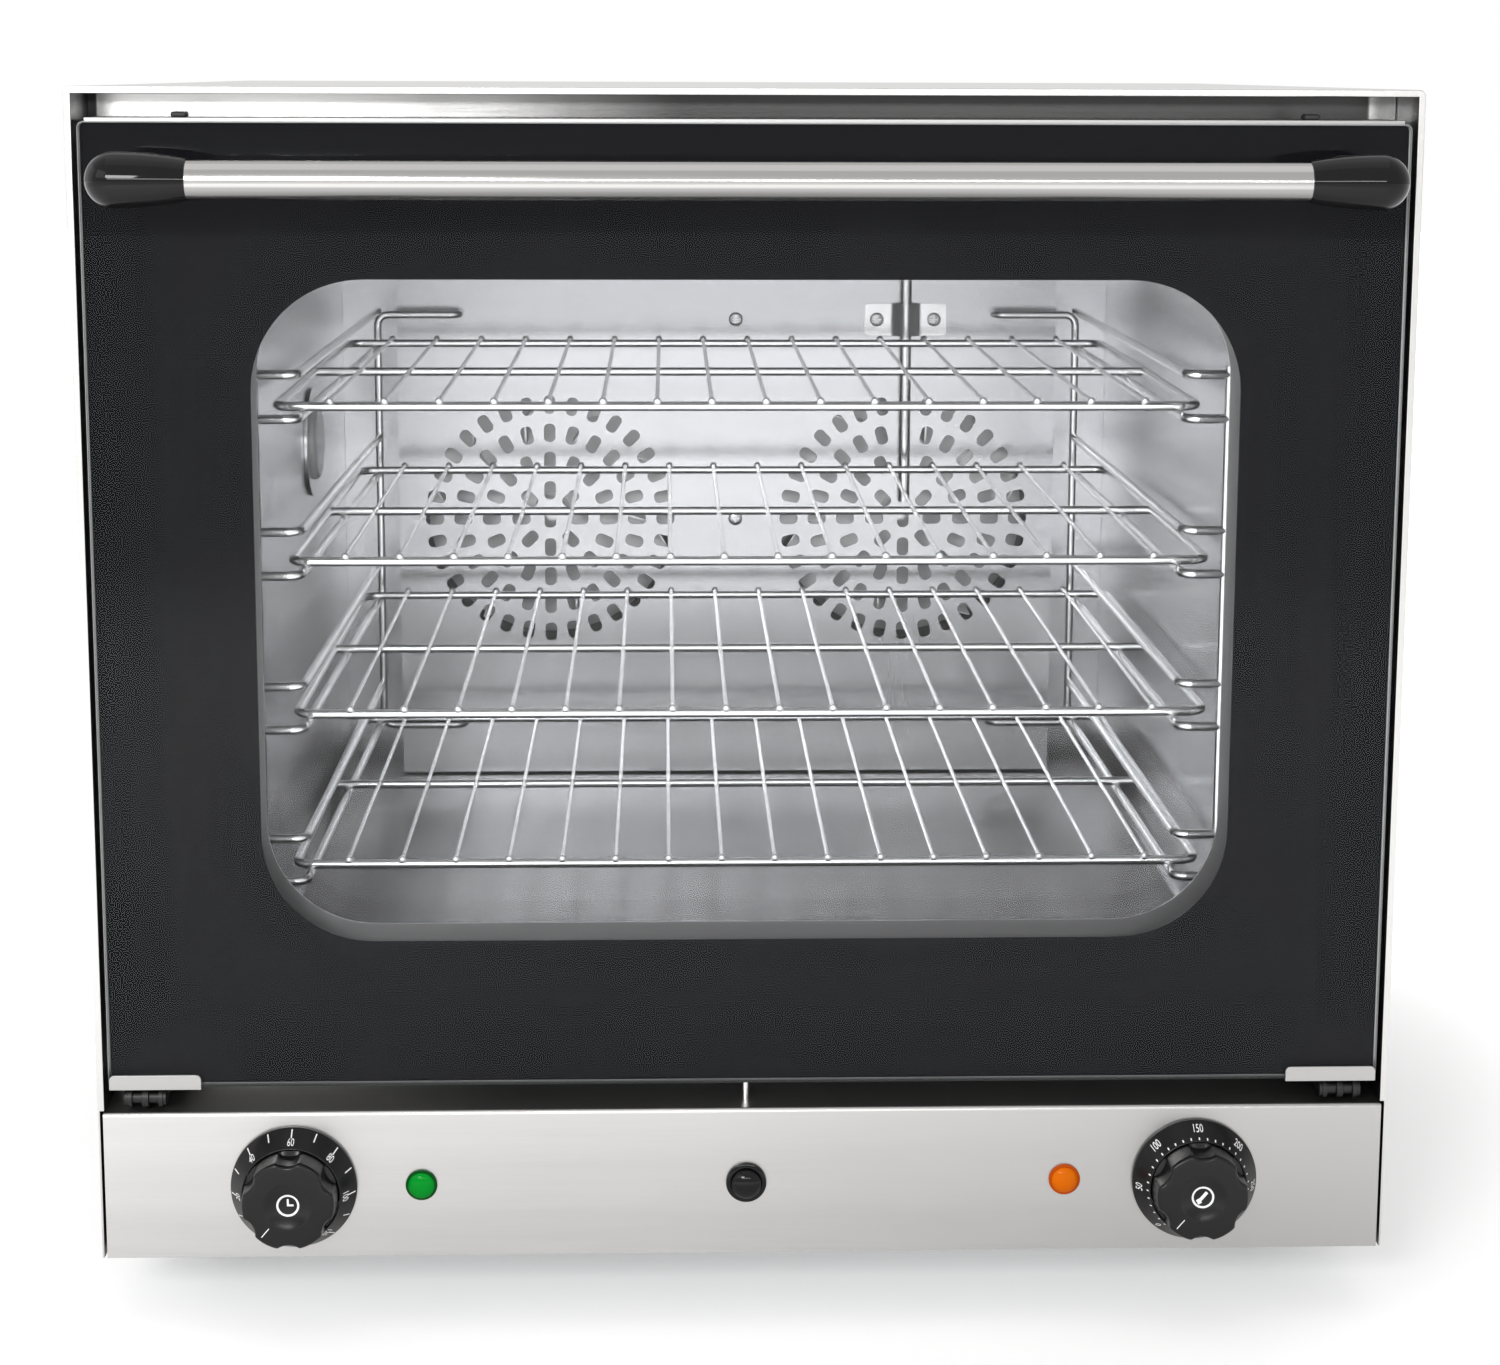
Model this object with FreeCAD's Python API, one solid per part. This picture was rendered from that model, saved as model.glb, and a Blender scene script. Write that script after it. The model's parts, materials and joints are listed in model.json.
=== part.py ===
import FreeCAD, Part
import math
import os

# A countertop convection oven, in millimetres.
# While a piece is drawn, y = 0 is the front edge of the casing and y grows to the back,
# z = 0 is the underside of the body, and x = 0 is the middle of the oven.
# save() moves each piece so that the origin is on the floor under the middle of the whole oven.

V = FreeCAD.Vector
TO_RIGHT = V(1, 0, 0)
TO_BACK = V(0, 1, 0)
UP = V(0, 0, 1)

# The body and its sheet metal.
BODY_W = 595.0
BODY_H = 536.0
BODY_D = 530.0
FOOT_H = 34.0
SHEET = 1.0
RIM = 3.0
RIM_DEPTH = 12.0
BEND_R = 3.0
FIT = 0.1

# What stands out of the body, in front and at the back.
HANDLE_REACH = 48.0
REAR_REACH = 23.0

# The control panel under the door.
PANEL_W = 590.6
PANEL_H = 70.0
PANEL_DEPTH = 44.8
CONTROL_Z = 34.5
KNOB_X = 208.5
GREEN_PILOT_X = -150.0
ORANGE_PILOT_X = 148.0
PILOT_R = 7.3
PILOT_BODY_R = 6.2
BUSH_R = 5.0
BUSH_FRONT = -1.5
BUTTON_R = 7.0
BUTTON_BARREL_R = 7.9
BEZEL_R = 9.45
SPRING_FRONT = 10.0
SPRING_BACK = 24.0

# The baking chamber and the steel face around its mouth.
FACE_Y = 46.0
FACE_T = 1.2
CHAMBER_W = 466.0
FLOOR_Z = 120.0
CEILING_Z = 470.0
CHAMBER_R = 15.0
CHAMBER_BACK = 471.0
INSULATION_T = 24.0

# The oven lamp on the left wall.
LAMP_Y = 307.0
LAMP_Z = 340.0
LAMP_BODY_R = 23.0
LAMP_GLASS_R = 21.0
LAMP_RING_R = 30.0

# The drop-down door.
GLASS_W = 585.0
GLASS_BOTTOM = 82.0
GLASS_TOP = 521.0
GLASS_T = 4.0
GLASS_Y = 1.0
PRINT_T = 0.3
WINDOW_W = 441.0
WINDOW_BOTTOM = 149.5
WINDOW_TOP = 452.0
WINDOW_R = 50.0
DOOR_FRAME_W = 580.0
DOOR_FRAME_TOP = 522.5
DOOR_BACK = 41.0
PIVOT_Y = 5.0
PIVOT_Z = 76.0
PIN_R = 3.0
RUNNING = 0.05
HINGE_X = 276.0
EYE_R = 4.6
ARM_T = 3.0
CLIP_OUTER_X = 292.0
CLIP_INNER_X = 250.0
CLIP_TOP = 88.0
CLIP_SCREW_X = 258.0
CLIP_SCREW_Y = 18.0

# The handle.
HANDLE_D = 17.0
HANDLE_Z = 497.0
HANDLE_Y = -36.0
BAR_SHOWN = 478.0
HANDLE_W = 564.0
HANDLE_END_R = 12.0

# The fan guard, the fans and their rings.
GUARD_Y = 427.0
GUARD_T = 1.2
GUARD_W = 392.0
GUARD_BOTTOM = 128.0
GUARD_TOP = 462.0
FAN_X = 106.0
FAN_Z = 277.0
FAN_R = 75.0
FAN_SHAFT_R = 4.0
MOTOR_R = 38.0
MOTOR_FRONT = 480.0
MOTOR_BACK = 524.0
RING_R = 88.0
RING_WIRE = 7.5
RING_Y = 449.0
SLOT_LENGTH = 11.0
SLOT_WIDTH = 7.0
SLOT_RINGS = [(8, 17.3), (16, 35.0), (24, 52.0), (32, 69.0)]
HOOK_X = 158.0
GUARD_SCREW_X = 5.0
GUARD_SCREW_Z = [397.0, FAN_Z, 157.0]
SCREW_R = 2.0
SCREW_ROOM = 0.2

# The runners and the shelves.
LEVELS = 4
LOWEST_RUNNER = 158.5
LEVEL_PITCH = 74.4
RUNNER_GAP = 21.0
ROD_D = 4.5
WIRE_D = 2.8
RUNNER_X = 208.0
FRONT_POST_X = 229.5
FRONT_POST_Y = 65.0
BACK_POST_X = 206.0
BACK_POST_Y = 415.0
SHELF_W = 438.0
SHELF_D = 306.0
SHELF_WIRES = 16
SHELF_FRONT = 84.0
REST_GAP = 0.05
SHELF_SHIFT = [-2.0, 4.0, 5.0, 3.0]

# The steam pipe.
STEAM_X = 106.0
STEAM_R = 3.5
STEAM_END = 288.0
STEAM_TOP = 512.0
CLAMP_Z = 397.0
VALVE_FRONT = 497.0
VALVE_NECK_R = 10.0
THREAD_R = 13.2

# The vent pipe and the cable's entry at the back.
VENT_X = -150.0
VENT_Z = 440.0
VENT_R = 15.0
VENT_BORE = 14.0
GLAND_X = -240.0
GLAND_Z = 45.0
GLAND_R = 9.8
CABLE_R = 4.5

# The dials: a fixed ring with the scale on its slope, and a grip that turns in the ring's mouth.
SCALE_R = 29.0
SCALE_MOUTH_R = 22.6
SCALE_REACH = 12.4
GRIP_R = 21.7
FACE_R = 20.9
KNOB_REACH = 25.0
DIAL_SHAFT_R = 3.0

# The feet.
FOOT_STUD_R = 3.0

MIDDLE_Y = (BODY_D + REAR_REACH - HANDLE_REACH) / 2


# Shapes that many pieces share.

def block(x0, x1, y0, y1, z0, z1):
    """A box between two corners."""
    return Part.makeBox(x1 - x0, y1 - y0, z1 - z0, V(x0, y0, z0))


def rounded_block(x0, x1, y0, y1, z0, z1, radius):
    """A box whose four edges along y are round."""
    box = block(x0, x1, y0, y1, z0, z1)
    along_y = [edge for edge in box.Edges if abs(edge.tangentAt(edge.FirstParameter).y) > 0.9]
    return box.makeFillet(radius, along_y)


def disc(radius, x, z, y0, y1):
    """A round bar along y."""
    return Part.makeCylinder(radius, y1 - y0, V(x, y0, z), TO_BACK)


def turned(x, z, outline):
    """A turned piece round an axis along y, from (radius, y) corners."""
    corners = [V(x + radius, y, z) for radius, y in outline]
    face = Part.Face(Part.makePolygon(corners + corners[:1]))
    return face.revolve(V(x, 0, z), TO_BACK, 360)


def eight_sides(diameter, centre, direction):
    """The outline of a wire, square to its direction, with one flat side up."""
    level = TO_BACK if abs(direction.z) > abs(direction.y) + abs(direction.x) else UP
    side = direction.cross(level).normalize()
    upright = side.cross(direction).normalize()
    reach = diameter / 2 / math.cos(math.pi / 8)
    corners = []
    for corner in range(8):
        angle = math.pi / 8 + corner * math.pi / 4
        corners.append(centre + side * (reach * math.cos(angle)) + upright * (reach * math.sin(angle)))
    return Part.makePolygon(corners + corners[:1])


def wire(diameter, *points):
    """A straight or bent wire. All wires have eight flat sides, because the oven holds so many."""
    outline = eight_sides(diameter, points[0], points[1] - points[0])
    if len(points) == 2:
        return Part.Face(outline).extrude(points[1] - points[0])
    return Part.makePolygon(points).makePipeShell([outline], True, False, 1)


def screw(head_r, head_h, shank_r, shank_length, x, z, y):
    """A pan-head screw that goes back from the face at y."""
    head = wire(2 * head_r, V(x, y - head_h, z), V(x, y, z))
    return head.fuse(wire(2 * shank_r, V(x, y, z), V(x, y + shank_length, z)))


def joined(shapes):
    """One solid made of shapes that touch or overlap."""
    return shapes[0].fuse(shapes[1:]).removeSplitter()


def mirrored(shape):
    """The same shape on the other side of the oven's middle."""
    return shape.mirror(V(0, 0, 0), TO_RIGHT)


# The casing and the frame of the body.

def outer_casing():
    """A sheet wrapped over the top and both sides, folded to a thick rim at the front."""
    half = BODY_W / 2
    back = BODY_D
    wrap = block(-half, half, 0, back, 0, BODY_H)
    top_edges = [
        edge for edge in wrap.Edges
        if abs(edge.tangentAt(edge.FirstParameter).y) > 0.9 and edge.CenterOfMass.z > BODY_H / 2
    ]
    wrap = wrap.makeFillet(BEND_R, top_edges)
    wrap = wrap.cut(block(-half + SHEET, half - SHEET, -1, back + 1, -1, BODY_H - SHEET))
    lowest_rim = PANEL_H + 1
    rim = block(-half + SHEET, half - SHEET, 0, RIM_DEPTH, lowest_rim, BODY_H - SHEET)
    rim = rim.cut(block(-half + RIM, half - RIM, -1, RIM_DEPTH + 1, lowest_rim - 1, BODY_H - RIM))
    flange_w = 12.0
    flange_front = 22.0
    flange = block(-half + SHEET, -half + flange_w, flange_front, back - SHEET, 0, SHEET)
    return [joined([wrap, rim, flange, mirrored(flange)])]


def back_panel():
    """The rear cover, with a row of cooling slots behind each fan motor."""
    half = BODY_W / 2 - SHEET - FIT
    bottom = SHEET + FIT
    top = BODY_H - SHEET - FIT
    flange_d = 15.0
    front = BODY_D - flange_d
    tray = block(-half, half, front, BODY_D, bottom, top)
    hollow = block(-half + SHEET, half - SHEET, front - 1, BODY_D - SHEET, bottom - 1, top - SHEET)
    slots = []
    slot_pitch = 12.0
    slot_half = 32.0
    slot_h = 5.0
    for row in range(8):
        z = FAN_Z + (row - 3.5) * slot_pitch
        slot = block(FAN_X - slot_half, FAN_X + slot_half, BODY_D - 2, BODY_D + 1, z, z + slot_h)
        slots += [slot, mirrored(slot)]
    holes = [
        disc(VALVE_NECK_R + FIT, STEAM_X, STEAM_TOP, BODY_D - 2, BODY_D + 1),
        disc(VENT_R + FIT, VENT_X, VENT_Z, BODY_D - 2, BODY_D + 1),
        disc(GLAND_R + FIT, GLAND_X, GLAND_Z, BODY_D - 2, BODY_D + 1),
    ]
    return [tray.cut([hollow] + slots + holes)]


def base_pan():
    """The floor of the body, turned up at its sides, with a hole over each foot."""
    half = BODY_W / 2 - SHEET - FIT
    turned_up = 15.0
    front = 16.0
    back = BODY_D - 16.0
    pan = block(-half, half, front, back, SHEET, SHEET + turned_up)
    pan = pan.cut(block(-half + SHEET, half - SHEET, 0, back + 1, 2 * SHEET, SHEET + turned_up + 1))
    holes = [Part.makeCylinder(FOOT_STUD_R + FIT, 5, V(x, y, 0)) for x, y in foot_places()]
    return [pan.cut(holes)]


def control_panel():
    """A folded panel with holes for the dials, the lights and the button."""
    half = PANEL_W / 2
    side_depth = 15.0
    folded = 20.0
    panel = block(-half, half, 0, PANEL_DEPTH, 0, PANEL_H)
    top_edge = [
        edge for edge in panel.Edges
        if edge.CenterOfMass.y < 1 and edge.CenterOfMass.z > PANEL_H - 1
    ]
    bend = 2.0
    panel = panel.makeFillet(bend, top_edge)
    hollow = block(-half + SHEET, half - SHEET, SHEET, PANEL_DEPTH + 1, SHEET, PANEL_H - SHEET)
    under = block(-half - 1, half + 1, folded, PANEL_DEPTH + 1, -1, PANEL_H - SHEET)
    beside = block(-half - 1, half + 1, side_depth, PANEL_DEPTH + 1, SHEET, PANEL_H - SHEET)
    holes = [
        disc(BUSH_R + FIT, KNOB_X, CONTROL_Z, -1, 5),
        disc(BUSH_R + FIT, -KNOB_X, CONTROL_Z, -1, 5),
        disc(PILOT_BODY_R + FIT, GREEN_PILOT_X, CONTROL_Z, -1, 5),
        disc(PILOT_BODY_R + FIT, ORANGE_PILOT_X, CONTROL_Z, -1, 5),
        disc(BUTTON_BARREL_R + FIT, 0, CONTROL_Z, -1, 5),
    ]
    return [panel.cut([hollow, under, beside] + holes)]


def front_frame():
    """The steel face round the chamber's mouth, set back behind the door."""
    half = BODY_W / 2 - SHEET - FIT
    face = block(-half, half, FACE_Y, FACE_Y + FACE_T, PANEL_H - SHEET, BODY_H - SHEET - FIT)
    mouth = rounded_block(
        -CHAMBER_W / 2, CHAMBER_W / 2, FACE_Y - 1, FACE_Y + FACE_T + 1, FLOOR_Z, CEILING_Z, CHAMBER_R
    )
    return [face.cut(mouth)]


# The baking chamber.

def chamber_block(grow, y0, y1):
    """The chamber's space, or a little more all round, between two depths."""
    half = CHAMBER_W / 2 + grow
    return rounded_block(-half, half, y0, y1, FLOOR_Z - grow, CEILING_Z + grow, CHAMBER_R + grow)


def cavity_liner():
    """The stainless chamber, closed at the back, with posts for the fan guard."""
    front = FACE_Y + FACE_T
    shell = chamber_block(SHEET, front, CHAMBER_BACK + SHEET)
    shell = shell.cut(chamber_block(0, front - 1, CHAMBER_BACK))
    holes = [Part.makeCylinder(STEAM_R + FIT, 10, V(STEAM_X, steam_y(), CEILING_Z - 5))]
    holes.append(disc(VENT_R + FIT, VENT_X, VENT_Z, CHAMBER_BACK - 5, CHAMBER_BACK + 5))
    holes.append(Part.makeCylinder(LAMP_BODY_R + FIT, 10, V(-CHAMBER_W / 2 - 5, LAMP_Y, LAMP_Z), TO_RIGHT))
    hole_r = FAN_SHAFT_R + 2
    for side in (-1, 1):
        holes.append(disc(hole_r, side * FAN_X, FAN_Z, CHAMBER_BACK - 5, CHAMBER_BACK + 5))
        for x, z in ring_tails(side):
            holes.append(disc(RING_WIRE / 2 + 0.5, x, z, CHAMBER_BACK - 5, CHAMBER_BACK + 5))
    post_r = 5.0
    posts = []
    for z in GUARD_SCREW_Z:
        posts.append(disc(post_r, GUARD_SCREW_X, z, GUARD_Y + GUARD_T, CHAMBER_BACK))
        holes.append(disc(SCREW_R + SCREW_ROOM, GUARD_SCREW_X, z, GUARD_Y, GUARD_Y + 20))
    return [joined([shell] + posts).cut(holes)]


def insulation_blanket():
    """The mineral wool round the chamber, with clear holes for all that passes through."""
    front = FACE_Y + FACE_T + FIT
    back = CHAMBER_BACK + SHEET + INSULATION_T
    half = CHAMBER_W / 2 + INSULATION_T
    wool = block(-half, half, front, back, FLOOR_Z - INSULATION_T, CEILING_Z + INSULATION_T)
    wool = wool.cut(chamber_block(SHEET + FIT, front - 1, CHAMBER_BACK + SHEET + FIT))
    clear = 1.0
    holes = [
        Part.makeCylinder(STEAM_R + clear, 60, V(STEAM_X, steam_y(), CEILING_Z - 5)),
        disc(VENT_R + clear, VENT_X, VENT_Z, CHAMBER_BACK - 5, back + 5),
        Part.makeCylinder(LAMP_BODY_R + clear, 60, V(-half - 5, LAMP_Y, LAMP_Z), TO_RIGHT),
    ]
    for side in (-1, 1):
        holes.append(disc(MOTOR_R + 5, side * FAN_X, FAN_Z, CHAMBER_BACK - 5, back + 5))
        for x, z in ring_tails(side):
            holes.append(disc(RING_WIRE / 2 + clear, x, z, CHAMBER_BACK - 5, back + 5))
    return [wool.cut(holes)]


def door_gasket():
    """The seal round the mouth that the closed door meets."""
    inner = 4.0
    width = 9.0
    thickness = 4.5
    front = FACE_Y - thickness
    outer = chamber_block(inner + width, front, FACE_Y)
    return [outer.cut(chamber_block(inner, front - 1, FACE_Y + 1))]


# The oven lamp.


def lamp_holder():
    """The lamp's socket in the wool, with a flat ring that holds the glass."""
    wall = -CHAMBER_W / 2
    ring_t = 2.0
    body_length = 34.0
    back = wall - body_length
    closed_end = 4.0
    ring = Part.makeCylinder(LAMP_RING_R, ring_t, V(wall, LAMP_Y, LAMP_Z), TO_RIGHT)
    seat = Part.makeCylinder(LAMP_GLASS_R, ring_t + 1, V(wall - 0.5, LAMP_Y, LAMP_Z), TO_RIGHT)
    socket = Part.makeCylinder(LAMP_BODY_R, body_length, V(back, LAMP_Y, LAMP_Z), TO_RIGHT)
    inside_r = LAMP_GLASS_R - 2
    inside = Part.makeCylinder(inside_r, body_length, V(back + closed_end, LAMP_Y, LAMP_Z), TO_RIGHT)
    return [joined([ring.cut(seat), socket]).cut(inside)]


def lamp_glass():
    """The round heat-proof glass over the lamp."""
    wall = -CHAMBER_W / 2
    height = 5.5
    round_edge = 3.0
    glass = Part.makeCylinder(LAMP_GLASS_R - FIT, height, V(wall, LAMP_Y, LAMP_Z), TO_RIGHT)
    rim = [edge for edge in glass.Edges if edge.CenterOfMass.x > wall + height - 1 and edge.Closed]
    return [glass.makeFillet(round_edge, rim)]


# The fan guard: a steel sheet with two round fields of radial slots.


def slot_outline(radius, angle, centre_x):
    """One radial slot, drawn with eight corners, because there are so many."""
    half_long = SLOT_LENGTH / 2
    half_wide = SLOT_WIDTH / 2
    cut = SLOT_WIDTH * 0.3
    outline = []
    for along, across in (
        (half_long, half_wide - cut), (half_long - cut, half_wide),
        (cut - half_long, half_wide), (-half_long, half_wide - cut),
        (-half_long, cut - half_wide), (cut - half_long, -half_wide),
        (half_long - cut, -half_wide), (half_long, cut - half_wide),
    ):
        reach = radius + along
        x = centre_x + reach * math.cos(angle) - across * math.sin(angle)
        z = FAN_Z + reach * math.sin(angle) + across * math.cos(angle)
        outline.append(V(x, GUARD_Y, z))
    return Part.makePolygon(outline + outline[:1])


def fan_guard():
    """The baffle in front of the fans, with its upper and lower edges turned back."""
    half = GUARD_W / 2
    outline = [
        V(-half, GUARD_Y, GUARD_BOTTOM), V(half, GUARD_Y, GUARD_BOTTOM),
        V(half, GUARD_Y, GUARD_TOP), V(-half, GUARD_Y, GUARD_TOP),
    ]
    holes = []
    for centre_x in (-FAN_X, FAN_X):
        holes.append(slot_outline(0, math.pi / 2, centre_x))
        for count, radius in SLOT_RINGS:
            for step in range(count):
                holes.append(slot_outline(radius, 2 * math.pi * step / count, centre_x))
    sheet = Part.makeFace([Part.makePolygon(outline + outline[:1])] + holes, "Part::FaceMakerBullseye")
    sheet = sheet.extrude(V(0, GUARD_T, 0))
    turned_back = 12.0
    lower = block(-half, half, GUARD_Y, GUARD_Y + turned_back, GUARD_BOTTOM - GUARD_T, GUARD_BOTTOM)
    upper = block(-half, half, GUARD_Y, GUARD_Y + turned_back, GUARD_TOP, GUARD_TOP + GUARD_T)
    screw_hole = SCREW_R + SCREW_ROOM
    hook_hole = ROD_D / 2 + 1
    places = [(screw_hole, GUARD_SCREW_X, z) for z in GUARD_SCREW_Z]
    places += [(screw_hole, x, CLAMP_Z) for x in clamp_screw_places()]
    places += [(hook_hole, side * HOOK_X, z) for side in (-1, 1) for z in (hook_top(), hook_bottom())]
    drilled = [disc(radius, x, z, GUARD_Y - 1, GUARD_Y + 5) for radius, x, z in places]
    return [joined([sheet, lower, upper]).cut(drilled)]


def clamp_screw_places():
    """The x of the two screws beside the steam pipe."""
    beside = 17.0
    return [STEAM_X - beside, STEAM_X + beside]


def cavity_screws():
    """The pan-head screws of the guard and of the pipe clamp."""
    head_r = 3.8
    head_h = 2.2
    length = 9.0
    guard_screws = [
        screw(head_r, head_h, SCREW_R, length, GUARD_SCREW_X, z, GUARD_Y) for z in GUARD_SCREW_Z
    ]
    clamp_screws = [
        screw(head_r, head_h, SCREW_R, length, x, CLAMP_Z, GUARD_Y - SHEET) for x in clamp_screw_places()
    ]
    return guard_screws + clamp_screws


# The steam pipe and its valve.


def steam_y():
    """The depth of the upright stretch, which touches the guard."""
    return GUARD_Y - STEAM_R


def steam_tube():
    """A pipe from the valve over the chamber, through its ceiling and down in front of the right fan."""
    bend = 12.0
    y = steam_y()
    corner = V(STEAM_X, y + bend - bend * math.sqrt(0.5), STEAM_TOP - bend + bend * math.sqrt(0.5))
    level = Part.LineSegment(V(STEAM_X, VALVE_FRONT, STEAM_TOP), V(STEAM_X, y + bend, STEAM_TOP))
    turn = Part.Arc(V(STEAM_X, y + bend, STEAM_TOP), corner, V(STEAM_X, y, STEAM_TOP - bend))
    down = Part.LineSegment(V(STEAM_X, y, STEAM_TOP - bend), V(STEAM_X, y, STEAM_END))
    path = Part.Wire([level.toShape(), turn.toShape(), down.toShape()])
    start = V(STEAM_X, VALVE_FRONT, STEAM_TOP)
    solids = []
    for radius in (STEAM_R, STEAM_R - 0.8):
        outline = Part.Wire(Part.makeCircle(radius, start, TO_BACK))
        solids.append(path.makePipeShell([outline], True, False))
    return [solids[0].cut(solids[1])]


def tube_clamp():
    """A strip bent over the pipe, with one screwed ear on each side."""
    half_w = 25.5
    half_h = 10.0
    inner = STEAM_R + 0.05
    outer = inner + SHEET
    y = steam_y()
    low = CLAMP_Z - half_h
    height = 2 * half_h
    ears = block(STEAM_X - half_w, STEAM_X + half_w, GUARD_Y - SHEET, GUARD_Y, low, low + height)
    hump = Part.makeCylinder(outer, height, V(STEAM_X, y, low))
    hump = hump.common(block(STEAM_X - outer, STEAM_X + outer, y - outer, y, low, low + height))
    walls = block(STEAM_X - outer, STEAM_X + outer, y, GUARD_Y, low, low + height)
    channel = Part.makeCylinder(inner, height, V(STEAM_X, y, low))
    room = block(STEAM_X - inner, STEAM_X + inner, y, GUARD_Y + 1, low, low + height)
    holes = [disc(SCREW_R + SCREW_ROOM, x, CLAMP_Z, GUARD_Y - 5, GUARD_Y + 5) for x in clamp_screw_places()]
    return [joined([ears, hump, walls]).cut([channel, room] + holes)]


def water_valve():
    """The solenoid valve at the back, with a hollow hose thread outside the back panel."""
    back = 524.0
    half_w = 18.0
    half_h = 13.0
    bore = 8.0
    bore_front = 505.0
    outside = BODY_D + 1.5
    body = block(
        STEAM_X - half_w, STEAM_X + half_w, VALVE_FRONT, back, STEAM_TOP - half_h, STEAM_TOP + half_h
    )
    neck = disc(VALVE_NECK_R, STEAM_X, STEAM_TOP, back, outside)
    thread = disc(THREAD_R, STEAM_X, STEAM_TOP, outside, BODY_D + REAR_REACH)
    coil_x = STEAM_X + half_w
    coil = Part.makeCylinder(half_h - 1, 30, V(coil_x, 512, STEAM_TOP), TO_RIGHT)
    flow = disc(bore, STEAM_X, STEAM_TOP, bore_front, BODY_D + REAR_REACH + 1)
    return [joined([body, neck, thread, coil]).cut(flow)]


# The vent pipe and the cable's entry at the back.


def vent_pipe():
    """The chamber's vent, from its back wall out to a short spigot with a flange."""
    flange_r = 24.0
    flange_t = 1.5
    spigot_r = 16.0
    back = BODY_D + REAR_REACH
    pipe = disc(VENT_R, VENT_X, VENT_Z, CHAMBER_BACK, BODY_D)
    flange = disc(flange_r, VENT_X, VENT_Z, BODY_D, BODY_D + flange_t)
    spigot = disc(spigot_r, VENT_X, VENT_Z, BODY_D + flange_t, back)
    bore = disc(VENT_BORE, VENT_X, VENT_Z, CHAMBER_BACK - 1, back + 1)
    return [joined([pipe, flange, spigot]).cut(bore)]


def cable_gland():
    """The gland of the mains cable: a nut inside, a cap nut outside."""
    inside = 514.0
    outside = 547.0
    nut_r = 13.0
    nut_t = 5.0
    body = disc(GLAND_R, GLAND_X, GLAND_Z, inside, BODY_D + 2)
    inner_face = BODY_D - SHEET
    nut = wire(2 * nut_r, V(GLAND_X, inner_face - nut_t, GLAND_Z), V(GLAND_X, inner_face, GLAND_Z))
    cap = wire(2 * nut_r - 2, V(GLAND_X, BODY_D, GLAND_Z), V(GLAND_X, outside, GLAND_Z))
    hole = disc(CABLE_R, GLAND_X, GLAND_Z, inside - 1, outside + 1)
    return [joined([body, nut, cap]).cut(hole)]


def terminal_block():
    """The block on the base pan where the mains wires end, with five screw wells."""
    left = -262.0
    width = 50.0
    front = 470.0
    depth = 22.0
    height = 16.0
    ways = 5
    floor = 2 * SHEET
    body = block(left, left + width, front, front + depth, floor, floor + height)
    wells = []
    for way in range(ways):
        x = left + width * (way + 0.5) / ways
        wells.append(block(x - 3.5, x + 3.5, front + 5, front + depth - 5, floor + 6, floor + height + 1))
    return [body.cut(wells)]


# The runners at the chamber's sides.

def runner_z(level):
    """The height of a level's lower runner, level 0 being the lowest."""
    return LOWEST_RUNNER + level * LEVEL_PITCH


def hook_top():
    """The height of the upper hooks in the guard."""
    return runner_z(LEVELS - 1) + RUNNER_GAP - 2.0


def hook_bottom():
    """The height of the lower hooks in the guard."""
    return runner_z(0) - 5.0


def rack_frame():
    """The right runner frame: two posts and a pair of runners at each level."""
    overhang = 4.0
    low = runner_z(0) - overhang
    high = runner_z(LEVELS - 1) + RUNNER_GAP + overhang
    hook_depth = 7.0
    front_post = wire(ROD_D, V(FRONT_POST_X, FRONT_POST_Y, low), V(FRONT_POST_X, FRONT_POST_Y, high))
    hook_y = GUARD_Y + hook_depth
    back_post = wire(
        ROD_D,
        V(HOOK_X, hook_y, hook_top()), V(HOOK_X, BACK_POST_Y, hook_top()),
        V(BACK_POST_X, BACK_POST_Y, hook_top()), V(BACK_POST_X, BACK_POST_Y, hook_bottom()),
        V(HOOK_X, BACK_POST_Y, hook_bottom()), V(HOOK_X, hook_y, hook_bottom()),
    )
    runners = []
    corner = 9.0
    start_x = FRONT_POST_X - ROD_D / 2
    end_y = BACK_POST_Y - ROD_D / 2
    for level in range(LEVELS):
        for z in (runner_z(level), runner_z(level) + RUNNER_GAP):
            runners.append(wire(
                ROD_D,
                V(start_x, FRONT_POST_Y, z), V(RUNNER_X + corner, FRONT_POST_Y, z),
                V(RUNNER_X, FRONT_POST_Y + corner, z), V(BACK_POST_X, end_y, z),
            ))
    return joined([front_post, back_post] + runners)


def shelf(level):
    """A wire shelf: a bent frame, a middle rod, and long wires welded across them."""
    z = runner_z(level) + ROD_D + REST_GAP
    shift = SHELF_SHIFT[LEVELS - 1 - level]
    left = shift - SHELF_W / 2
    right = shift + SHELF_W / 2
    front = SHELF_FRONT
    back = SHELF_FRONT + SHELF_D
    corner = 7.0
    middle_x = shift
    half_frames = []
    for side_x, inward in ((left, corner), (right, -corner)):
        half_frames.append(wire(
            ROD_D,
            V(middle_x, front, z), V(side_x + inward, front, z), V(side_x, front + corner, z),
            V(side_x, back - corner, z), V(side_x + inward, back, z), V(middle_x, back, z),
        ))
    middle_y = (front + back) / 2
    middle = wire(ROD_D, V(left + ROD_D / 2, middle_y, z), V(right - ROD_D / 2, middle_y, z))
    pitch = SHELF_W / (SHELF_WIRES + 1)
    wire_z = z + ROD_D / 2 + WIRE_D / 2
    overhang = 1.5
    long_wires = []
    for place in range(1, SHELF_WIRES + 1):
        x = left + place * pitch
        long_wires.append(wire(WIRE_D, V(x, front - overhang, wire_z), V(x, back + overhang, wire_z)))
    return [joined(half_frames + [middle] + long_wires)]


# The fans, their motors and their heating rings.


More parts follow.
